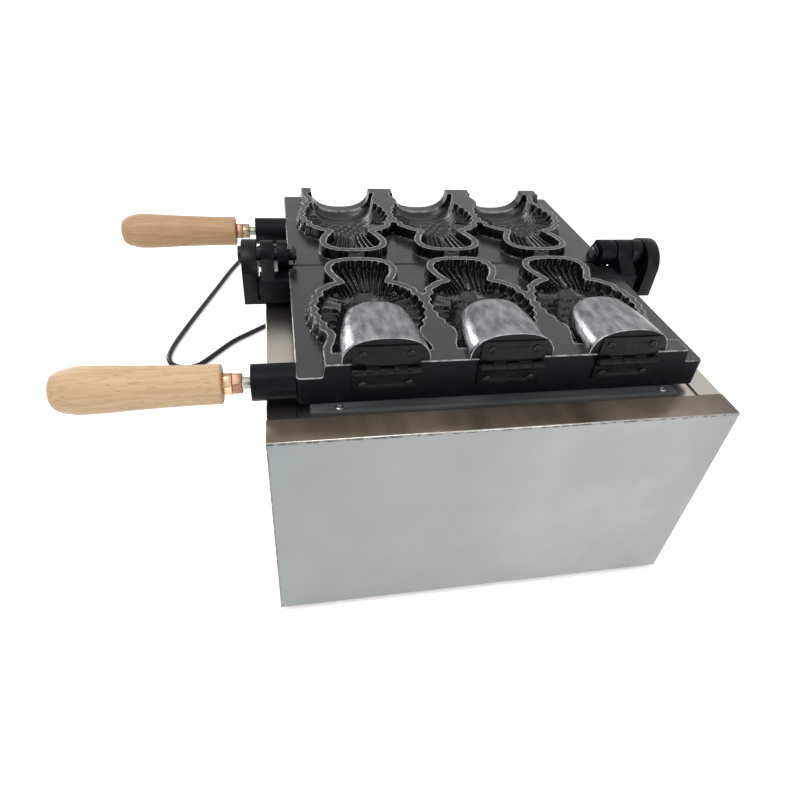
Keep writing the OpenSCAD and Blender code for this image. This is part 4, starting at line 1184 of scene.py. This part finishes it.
    def skirt(self, shape: Shape) -> None:
        """Adds the rounded top edge, the sides and the underside below the grid.

        Args:
            shape: The open grid, which is closed here.
        """
        grid = np.array([v.co for v in shape.verts])
        low, high = grid.min(axis=0), grid.max(axis=0)
        out = self.chamfer * MM
        for k, (shift, drop) in enumerate(((out, out), (0.0, self.edge_band * MM), (0.0, None), (-out, out))):
            rim = [e for e in shape.edges if e.is_boundary]
            grown = bmesh.ops.extrude_edge_only(shape, edges=rim)["geom"]
            for f in only(grown, bmesh.types.BMFace):
                f.material_index = min(k, 1)
            for e in rim:
                e.smooth = k != 3
            for v in only(grown, bmesh.types.BMVert):
                gap = np.array([v.co.x - low[0], high[0] - v.co.x, v.co.y - low[1], high[1] - v.co.y])
                pull = np.clip(1 - gap / (self.corner * MM), 0, 1)
                way = Vector((pull[1] - pull[0], pull[3] - pull[2], 0))
                if way.length > 1e-6 and shift:
                    v.co += way.normalized() * shift
                v.co.z = (self.slab_bottom + self.chamfer) * MM if drop is None else v.co.z - drop
        bottom = [e for e in shape.edges if e.is_boundary]
        for e in bottom:
            e.smooth = False
        for f in bmesh.ops.holes_fill(shape, edges=bottom, sides=0)["faces"]:
            f.material_index = 1

    def ear(self, name: str, planes: Sequence[tuple]) -> None:
        """Keeps the part of the node in front of some planes, with its own edges softened.

        Args:
            name: End of the new piece's name.
            planes: Point in the cabinet's mm and direction of the side that stays, for each plane.
        """
        shape = node_shape(self.node)
        for point, way in planes:
            cut = bmesh.ops.bisect_plane(shape, geom=[*shape.verts, *shape.edges, *shape.faces], plane_no=way,
                                         plane_co=place(*point), clear_inner=True, dist=0.001 * MM)
            rims = only(cut["geom_cut"], bmesh.types.BMEdge)
            bmesh.ops.triangle_fill(shape, use_beauty=True, use_dissolve=False, edges=rims)
        bmesh.ops.recalc_face_normals(shape, faces=shape.faces)
        cuts = [(place(*point), Vector(way)) for point, way in planes]
        round_edges(shape, self.ear_rounding, 32.0, 3, cuts)
        standing_for(self.node, f"{self.node}_{name}", shape, [STOVE_PAINT])

    def build(self) -> None:
        """Builds the slab and the ears."""
        self.casting()
        side = self.side + self.cut_play
        right = ((side, 0, 0), (1, 0, 0))
        ears = {"left_ear": [((-side, 0, 0), (-1, 0, 0)), ((self.boss_end, 0, 0), (1, 0, 0))],
                "right_ear": [right]}
        if self.half is Half.REAR:
            over, under = (((0, 0, self.knuckle_foot), (0, 0, up)) for up in (1, -1))
            inner = ((self.knuckle_x, 0, 0), (1, 0, 0))
            ears["right_ear"].append(under)
            ears["right_knuckle"] = [inner, over, self.knuckle_slope]
            nose = ((0, self.nose_y, 0), (0, -1, 0))
            ears["right_knuckle_nose"] = [inner, (right[0], (-1, 0, 0)), under, nose]
        for name, planes in ears.items():
            self.ear(name, planes)


@dataclass
class MouthCore:
    """Polished core that keeps a fish's mouth open; its front face takes the near-black finish as painted
    shade.
    """

    side: str
    fish_x: float
    width: float = 60.0
    length: float = 61.0
    rise: float = 19.5
    drop: float = 14.0
    taper: float = 9.0
    dome: float = 12.0
    dome_play: float = 0.12
    dome_width: float = 0.45
    dome_height: float = 0.35
    rise_loss: float = 4.0
    drop_loss: float = 3.0
    fullness: float = 2.4
    tongue: float = 15.0
    sides: int = 112
    bevel: float = 0.7

    def ring(self, s: float, flat: bool, inset: float = 0.0) -> list[Vector]:
        """Gives one ring of the core.

        Args:
            s: Distance from the front face.
            flat: Whether the underside is flat at the parting plane.
            inset: How far the ring is drawn in.

        Returns:
            The ring's points in the frame's metres.
        """
        f = s / self.length
        rest = max(s - self.length + self.dome, 0.0)
        e = math.sqrt(1 - (rest / (self.dome + self.dome_play)) ** 2)
        wide, tall = (share + (1 - share) * e for share in (self.dome_width, self.dome_height))
        w = (self.width / 2 - self.taper * f * f) * wide - inset
        up = (self.rise - self.rise_loss * f) * tall - inset
        down = (self.drop - self.drop_loss * f) * tall - inset
        points = []
        for j in range(self.sides):
            turn = 2 * math.pi * j / self.sides
            x, z = (math.copysign(abs(c) ** (2 / self.fullness), c) for c in (math.cos(turn), math.sin(turn)))
            z = z * up if z > 0 else (inset if flat else z * down)
            z = max(z, inset) if flat else z
            points.append(place(self.fish_x + w * x, PLATE_FRONT + s, PARTING + z))
        return points

    def build(self) -> None:
        """Makes the core and lets it stand for its node."""
        b, straight = self.bevel, self.length - self.dome
        rings = [self.ring(0.0, True, b), self.ring(0.3 * b, True, 0.3 * b), self.ring(b, True)]
        rings += [self.ring(s, True) for s in (4.0, 8.0, self.tongue - 0.02)]
        rings += [self.ring(s, False) for s in (self.tongue, *np.linspace(self.tongue + 0.6, straight, 12))]
        angles = (math.pi / 2 * k / 14 for k in range(1, 15))
        rings += [self.ring(straight + self.dome * math.sin(a), False) for a in angles]
        shape = bmesh.new()
        # The front cap takes the near-black finish: painted shade on the face turned from the light.
        skinned(shape, np.array([[tuple(p) for p in r] for r in rings]), 1)
        node = f"{self.side}_core"
        standing_for(node, f"{node}_casting", shape, [POLISHED_CAST, BLACKENED], 35.0)


@dataclass
class PanHeads:
    """A group of screws with cross recesses that stands for one node."""

    node: str
    finish: Finish
    centres: tuple
    axis: tuple[float, float, float]
    shank: float
    shank_radius: float
    radius: float = 2.8
    rise: float = 1.3
    grid: int = 30
    arm: float = 0.42
    arm_reach: float = 1.55
    recess: float = 0.9
    dome_fall: float = 0.82
    dome_power: float = 2.6

    def head(self, shape: Shape, base: Vector) -> None:
        """Adds one head: a dome with its cross pressed in.

        Args:
            shape: Mesh that takes it.
            base: Middle of the head's seat.
        """
        axis = Vector(self.axis)
        across = axis.orthogonal().normalized()
        other = axis.cross(across)
        verts = bmesh.ops.create_grid(shape, x_segments=self.grid, y_segments=self.grid, size=1.0)["verts"]
        for v in verts:
            a, b = v.co.x, v.co.y
            px, py = a * math.sqrt(1 - b * b / 2) * self.radius, b * math.sqrt(1 - a * a / 2) * self.radius
            r, near, far = math.hypot(px, py) / self.radius, min(abs(px), abs(py)), max(abs(px), abs(py))
            z = self.rise * math.sqrt(max(1 - self.dome_fall * r ** self.dome_power, 0.0))
            if near < self.arm and far < self.arm_reach:
                z -= self.recess * (1 - far / self.arm_reach * 0.5)
            v.co = base + (across * px + other * py + axis * z) * MM
        rim = [e for v in verts for e in v.link_edges if e.is_boundary]
        grown = bmesh.ops.extrude_edge_only(shape, edges=list(set(rim)))["geom"]
        low = only(grown, bmesh.types.BMVert)
        for v in low:
            v.co -= axis * (v.co - base).dot(axis)
        seat = {e for v in low for e in v.link_edges if e.is_boundary}
        bmesh.ops.holes_fill(shape, edges=list(seat), sides=0)

    def build(self) -> None:
        """Makes every head with its shank."""
        shape = bmesh.new()
        axis = Vector(self.axis)
        for centre in self.centres:
            base = place(*centre)
            self.head(shape, base)
            shank = [(self.shank_radius, 0.0), (self.shank_radius, -self.shank)]
            skinned(shape, turned(shank, base, axis, 24))
        standing_for(self.node, f"{self.node}_heads", shape, [self.finish], 40.0)


@dataclass
class Grip:
    """Turned beech grip with the blind bore for its stud."""

    which: str
    y: float
    finish: Finish
    shoulder_x: float = -197.0
    z: float = 204.0
    length: float = 106.0
    radius: float = 15.5
    bore_radius: float = 4.02
    bore_depth: float = 29.0
    chamfer: float = 0.8
    neck_share: float = 0.86
    neck_length: float = 2.2
    steps: int = 72
    # Outline from the neck to the end, as shares of the radius and of the length.
    shares: tuple = ((0.8, 0.0), (0.86, 0.02), (0.87, 0.2), (0.92, 0.45), (1.0, 0.72), (0.98, 0.86),
                     (0.72, 0.965), (0.0, 1.0))

    def build(self) -> None:
        """Spins the grip's outline about its axis."""
        r, n = self.radius, self.length
        neck = r * self.neck_share
        outline = [Vector((r * a, n * b, 0)) for a, b in self.shares]
        curve = [(p.x, min(max(p.y, 0.0), n)) for p in smooth_line(outline, 10)][1:-1]
        points = [(0.0, self.bore_depth), (self.bore_radius, self.bore_depth), (self.bore_radius, 0.0),
                  (neck - self.chamfer, 0.0), (neck, self.chamfer)]
        points += [p for p in curve if p[1] > self.neck_length] + [(0.0, n)]
        shape = bmesh.new()
        middle = place(self.shoulder_x, self.y, self.z)
        verts = [shape.verts.new(middle + Vector((-a, 0, b)) * MM) for b, a in points]
        edges = [shape.edges.new(pair) for pair in zip(verts, verts[1:])]
        bmesh.ops.spin(shape, geom=[*verts, *edges], cent=middle, axis=(1, 0, 0), angle=2 * math.pi,
                       steps=self.steps, use_merge=True)
        bmesh.ops.remove_doubles(shape, verts=shape.verts, dist=0.001 * MM)
        bmesh.ops.recalc_face_normals(shape, faces=shape.faces)
        standing_for(f"{self.which}_handle_grip", f"{self.which}_grip_wood", shape, [self.finish], 30.0)


@dataclass
class Handles:
    """Both grips with their studs and lock nuts."""

    front_y: float = 46.0
    rear_y: float = 294.0
    nuts_middle_x: float = -190.5

    def build(self) -> None:
        """Makes the grips, the nuts in their two shades and the threaded studs."""
        for which, y, wood, outer, inner in (("front", self.front_y, BEECH, PEACH_ZINC, ROSY_ZINC),
                                             ("rear", self.rear_y, SHADED_BEECH, ROSY_ZINC, OLIVE_ZINC)):
            Grip(which, y, wood).build()
            softened(f"{which}_handle_nuts", f"{which}_lock_nuts", [outer, inner], 0.45,
                     lambda at, way: 0 if at.x < self.nuts_middle_x else 1)
            softened(f"{which}_handle_stud", f"{which}_threaded_stud", [STUD_ZINC], 0.4)


@dataclass
class SheetWork:
    """Front panel with its film and its folded top edge."""

    top: float = 190.0
    bend: float = 1.2

    def dressed(self, at: Vector, way: Vector) -> int:
        """Gives the finish of one face of the front panel.

        Args:
            at: Face's middle in the cabinet's mm.
            way: Face's normal.

        Returns:
            0 for the film, 1 for the polished fold, 2 for the bare bend.
        """
        if way.z > 0.95:
            return 1
        if at.z > self.top - self.bend and way.y < 0:
            return 2 if way.z > 0.3 else 0
        return 0 if way.y < -0.5 else 1

    def build(self) -> None:
        """Makes the panel."""
        softened("front_panel", "front_panel_sheet", [FILM, FOLD_PAINTED_REFLECTION, BEND], 0.25, self.dressed, 60.0, 1)


@dataclass
class HingeWork:
    """Brackets, pins and collar of the hinge line, and the butt hinges of the cores."""

    pin_end_x: float = 131.2

    def pin_finish(self, at: Vector, way: Vector) -> int:
        """Gives bright metal to the right pin's turned end and the wiped finish elsewhere."""
        return 1 if 0 < at.x < self.pin_end_x and abs(way.x) > 0.9 else 0

    def build(self) -> None:
        """Makes softened copies of the hinge parts."""
        for side in ("left", "right"):
            softened(f"{side}_hinge_bracket", f"{side}_bracket_casting", [BLACKENED], 0.8)
            softened(f"{side}_hinge_pin", f"{side}_pin_steel", [GREYED, ZINC], 0.5, self.pin_finish)
        softened("hinge_spacer", "distance_collar", [BLACKENED], 0.6)
        for side in SIDES:
            for leaf in ("core", "plate"):
                softened(f"{side}_{leaf}_leaf", f"{side}_{leaf}_hinge_leaf", [BLACKENED], 0.25)
            softened(f"{side}_leaf_pin", f"{side}_leaf_pin_wire", [GREYED], 0.3)
        for bar in ("front", "rear"):
            softened(f"{bar}_rest_bar", f"{bar}_bar_steel", [BAR_STEEL], 0.35)


@dataclass
class Scale:
    """Printed scale round one knob: ticks on an arc with generic numbers."""

    name: str
    y: float
    labels: tuple[str, ...]
    proud: float = 0.06
    radius: float = 21.0
    tick: float = 3.4
    short_tick: float = 0.6
    tick_width: float = 0.6
    between: int = 2
    text_radius: float = 29.5
    text_size: float = 5.6
    arc_deg: float = 270.0

    def spot(self, angle: float, radius: float) -> Matrix:
        """Gives the upright transform to a place on the scale, from its angle and distance in mm."""
        at = place(WALL_X + self.proud, self.y + radius * math.sin(angle), KNOB_Z + radius * math.cos(angle))
        return Matrix.Translation(at) @ Matrix(((0, 0, 1), (1, 0, 0), (0, 1, 0))).to_4x4()

    def number(self, shape: Shape, text: str, angle: float) -> None:
        """Adds one number to the print.

        Args:
            shape: Mesh that takes it.
            text: The number.
            angle: Its place on the arc, clockwise from the top.
        """
        curve = bpy.data.curves.new(f"{self.name}_{text}", "FONT")
        curve.body = text
        curve.size = self.text_size * MM
        curve.align_x, curve.align_y = "CENTER", "CENTER"
        curve.extrude = self.proud / 2 * MM
        drawn = bpy.data.objects.new(curve.name, curve)
        mesh = bpy.data.meshes.new_from_object(drawn)
        mesh.transform(self.spot(angle, self.text_radius))
        shape.from_mesh(mesh)
        bpy.data.objects.remove(drawn)
        bpy.data.curves.remove(curve)
        bpy.data.meshes.remove(mesh)

    def build(self) -> None:
        """Prints the ticks and the numbers."""
        shape = bmesh.new()
        steps = (len(self.labels) - 1) * self.between
        for k in range(steps + 1):
            angle = math.radians(self.arc_deg * (k / steps - 0.5))
            long = k % self.between == 0
            size = self.tick * (1.0 if long else self.short_tick)
            middle = self.radius + size / 2
            scaled = Matrix.Diagonal((self.tick_width * MM, size * MM, self.proud * MM, 1.0))
            turn = Matrix.Rotation(-angle, 4, "Z")
            bmesh.ops.create_cube(shape, size=1.0, matrix=self.spot(angle, middle) @ turn @ scaled)
            if long:
                self.number(shape, self.labels[k // self.between], angle)
        bmesh.ops.remove_doubles(shape, verts=shape.verts, dist=0.0005 * MM)
        finished(f"{self.name}_scale_print", shape, [BLACK_INK], None, "cabinet")


@dataclass
class Controls:
    """Knobs with white pointers, their scales, the main switch and the terminal block."""

    knob_ys: tuple[float, ...] = (85.0, 179.0, 273.0)
    pointer_x: float = 188.7
    heat: tuple[str, ...] = ("0", "50", "100", "150", "200", "250", "300")
    minutes: tuple[str, ...] = ("0", "1", "2", "3", "4", "5")

    def build(self) -> None:
        """Makes the softened knobs and switch and prints the scales."""
        for name, y, labels in zip(("front_heat", "timer", "rear_heat"), self.knob_ys,
                                   (self.heat, self.minutes, self.heat)):
            softened(f"{name}_knob", f"{name}_knob_moulding", [PLASTIC, INK], 0.3,
                     lambda at, way: 1 if at.x > self.pointer_x and at.z > KNOB_Z else 0)
            Scale(name, y, labels).build()
        softened("switch_frame", "switch_frame_moulding", [PLASTIC], 0.4)
        softened("switch_rocker", "switch_rocker_moulding", [RED_PLASTIC], 0.4)
        softened("terminal_block", "terminal_block_ceramic", [CERAMIC], 0.6)


@dataclass
class PlugEnd:
    """Moulded plug with its ribbed neck and zinc-plated pins, and the ribbed relief at the wall."""

    plug: tuple[float, float, float] = (-98.0, 697.0, 11.0)
    pins_y: float = 678.8
    gland: tuple[float, float, float] = (-110.0, 365.5, 45.0)
    # Ribs of each neck: number, first place, pitch, radius at the neck's start and its change a mm.
    plug_ribs: tuple = (4, 2.0, 3.0, 5.3, 0.22)
    gland_ribs: tuple = (5, 4.0, 4.6, 6.6, -0.085)
    # Half of a rib's section: below its top, beside its middle.
    section: tuple = ((1.6, 0.9), (0.4, 0.8), (0.0, 0.3))

    def ribbed(self, start: Sequence[float], axis: Vector, ribs: tuple, piece: str, node: str,
               finish: Finish) -> None:
        """Makes the round ribs along a neck.

        Args:
            start: Where the neck starts, in the cabinet's mm.
            axis: Unit vector along it.
            ribs: Their number, first place, pitch, radius at the start and its change a mm.
            piece: Name of the new piece.
            node: Frame node that it rides with.
            finish: Its finish.
        """
        count, first, pitch, radius, change = ribs
        shape = bmesh.new()
        for k in range(count):
            a = first + pitch * k
            top = radius + change * a
            bow = [(top - down, side * b) for side in (-1, 1) for down, b in self.section[::-side]]
            skinned(shape, turned(bow, place(*(Vector(start) + axis * a)), axis, 32))
        finished(piece, shape, [finish], 40.0, node_body(node))

    def build(self) -> None:
        """Makes both pieces with their ribs."""
        softened("mains_plug", "plug_moulding", [PLASTIC, ZINC], 0.9,
                 lambda at, way: 1 if at.y < self.pins_y else 0)
        softened("cord_gland", "cord_relief_rubber", [RUBBER], 0.4)
        self.ribbed(self.plug, Vector((1, 0, 0)), self.plug_ribs, "plug_neck_ribs", "mains_plug", PLASTIC)
        self.ribbed(self.gland, Vector((0, 1, 0)), self.gland_ribs, "cord_relief_ribs", "cord_gland", RUBBER)


@dataclass
class MainsCord:
    """The cord from its strain relief round the loop to the coil and the plug."""

    thick_mm: float = 6.5
    gap_mm: float = 0.8
    lift_mm: float = 0.15
    turns: int = 3
    coil_mm: float = 84.0
    coil_centre: tuple[float, float] = (-166.0, 650.0)
    coil_start: float = 135.0
    rings: int = 24
    # Free run from the wall to the coil, and from the coil to the plug.
    route: tuple = ((-110, 392, 45), (-110, 406, 45), (-110, 426, 40), (-111, 444, 28), (-115, 460, 14),
                    (-125, 472, 6), (-139, 475, 3.4), (-154, 467, 3.4), (-169, 453, 3.4), (-183, 440, 3.4),
                    (-204, 422, 3.4), (-223, 405, 3.4), (-241, 382, 3.4), (-257, 360, 3.4), (-267, 351, 3.4),
                    (-279, 348, 3.4), (-291, 352, 3.4), (-299, 361, 3.4), (-302, 375, 3.4), (-299, 398, 3.4),
                    (-289, 435, 3.4), (-277, 476, 3.4), (-265, 515, 3.4), (-252, 557, 3.4), (-239, 600, 3.4),
                    (-226, 637, 3.4), (-217, 652, 3.4), (-207, 663.5, 3.4))
    tail: tuple = ((-176, 692, 9), (-158, 698, 5.5), (-138, 698, 4), (-120, 697, 7), (-108, 697, 10.6),
                   (-98, 697, 11))
    smooth_steps: int = 5

    def coil_point(self, t: float) -> Vector:
        """Follows the coil's centre line: in, up over half a turn, and out again on top.

        Args:
            t: Turns from the coil's start.

        Returns:
            The point in the cabinet's mm.
        """
        pitch = self.thick_mm + self.gap_mm
        radius = self.coil_mm / 2 - self.thick_mm / 2 - pitch * min(t, self.turns - t)
        rise = min(max((t - self.turns / 2 + 0.25) / 0.5, 0.0), 1.0)
        angle = math.radians(self.coil_start - 360 * t)
        height = self.thick_mm / 2 + self.lift_mm + pitch * (3 * rise ** 2 - 2 * rise ** 3)
        return Vector((self.coil_centre[0] + radius * math.cos(angle),
                       self.coil_centre[1] + radius * math.sin(angle), height))

    def centre_line(self) -> list[Vector]:
        """Joins the free run, the coil and the tail.

        Returns:
            The whole centre line in the frame's metres.
        """
        start = math.radians(self.coil_start)
        heading = Vector((math.sin(start), -math.cos(start), 0))
        coil = [self.coil_point(i / self.rings) for i in range(self.turns * self.rings + 1)]
        coil_in = coil[0] - self.thick_mm * heading
        coil_out = coil[-1] + self.thick_mm * heading
        free = smooth_line([Vector(p) for p in self.route] + [coil_in], self.smooth_steps)
        tail = smooth_line([coil_out] + [Vector(p) for p in self.tail], self.smooth_steps)
        return [(p - ORIGIN) * MM for p in free + coil + tail]

    def build(self) -> None:
        line = self.centre_line()
        data = bpy.data.curves.new("mains_cord_curve", "CURVE")
        data.dimensions = "3D"
        spline = data.splines.new("POLY")
        spline.points.add(len(line) - 1)
        for point, at in zip(spline.points, line):
            point.co = (*at, 1.0)
        data.bevel_depth = self.thick_mm / 2 * MM
        data.bevel_resolution = 6
        data.use_fill_caps = True
        made = bpy.data.objects.new("mains_cord_jacket", data)
        bpy.context.scene.collection.objects.link(made)
        data.materials.append(JACKET.build())
        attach(made, "cabinet")
        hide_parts("mains_cord", "cord_coil", "cord_tail")
        length = sum((b - a).length for a, b in zip(line, line[1:]))
        LOG.info("mains cord is %.3f m long", length)


@dataclass
class PlainNodes:
    """Finishes of all frame nodes; most are hidden behind a finer piece, the rest keep their own shape."""

    finishes: tuple = (
        (FILM, "front_panel"),
        (POLISHED, "left_side_panel right_side_panel rear_panel top_frame heater_tray"),
        (ZINC, "base_plate rest_bar_screws bracket_screws left_hinge_pin right_hinge_pin front_handle_stud "
               "rear_handle_stud heater_saddles timer_drive"),
        (RUBBER, "rubber_feet cord_gland"), (BAR_STEEL, "front_rest_bar rear_rest_bar"),
        (BLACKENED, "left_hinge_bracket right_hinge_bracket hinge_spacer plate_leaf_screws"),
        (COATING, "front_plate rear_plate"),
        (PEACH_ZINC, "front_handle_nuts"), (OLIVE_ZINC, "rear_handle_nuts"),
        (BEECH, "front_handle_grip rear_handle_grip"), (SHEATH, "front_heater rear_heater"),
        (PLASTIC, "front_thermostat rear_thermostat front_heat_knob rear_heat_knob timer_knob switch_frame "
                  "mains_plug"),
        (RED_PLASTIC, "switch_rocker"), (AMBER, "pilot_lamps"), (CERAMIC, "terminal_block"),
        (JACKET, "mains_cord cord_coil cord_tail"))
    core_finishes: tuple = ((POLISHED_CAST, "{0}_core"),
                            (BLACKENED, "{0}_core_leaf {0}_plate_leaf {0}_leaf_pin core_leaf_screws_{0}"))

    def build(self) -> None:
        """Gives each node its finish."""
        cores = [(finish, nodes.format(side)) for finish, nodes in self.core_finishes for side in SIDES]
        for finish, nodes in (*self.finishes, *cores):
            for node in nodes.split():
                data = frame["nodes"][node].data
                data.materials.clear()
                data.materials.append(finish.build())


def screw_groups() -> list[PanHeads]:
    """Lists the groups of screws, with the seats of their heads in the cabinet's mm.

    Returns:
        One part for each screw node.
    """
    leaf_y, plate_z, core_z, pair = 31.5, 209.0, 233.0, (-16, 16)
    rows = {"plate_leaf_screws": [(x + d, leaf_y, plate_z) for x in FISH_X for d in pair]}
    for side, x in zip(SIDES, FISH_X):
        rows[f"core_leaf_screws_{side}"] = [(x + d, leaf_y, core_z) for d in pair]
    groups = [PanHeads(node, GREYED, tuple(row), (0, -1, 0), 1.4, 1.5) for node, row in rows.items()]
    bar = tuple((x, y, z) for x in (-121.0, 121.0) for y, z in ((28.5, 193.0), (359.5, 192.0)))
    feet = tuple((x, y, 194.0) for x in (-161.0, 161.0) for y in (183.0, 209.0))
    groups.append(PanHeads("rest_bar_screws", ZINC, bar, (0, 0, 1), 3.0, 1.4, rise=1.0, recess=0.7))
    groups.append(PanHeads("bracket_screws", GREYED, feet, (0, 0, 1), 3.5, 1.9, 3.4, 0.9, recess=0.6))
    return groups


def main() -> None:
    """Builds the studio and every part of the machine."""
    logging.basicConfig(level=logging.INFO)
    relief = FishRelief()
    parts = [Studio(), MainsCord(), PlainNodes(), *(MouldPlate(half, relief) for half in Half)]
    parts += [MouthCore(side, x) for side, x in zip(SIDES, FISH_X)]
    parts += [SheetWork(), HingeWork(), Handles(), Controls(), PlugEnd(), *screw_groups()]
    for part in parts:
        part.build()
        LOG.info("built %s", type(part).__name__)


if __name__ == "__main__":
    main()
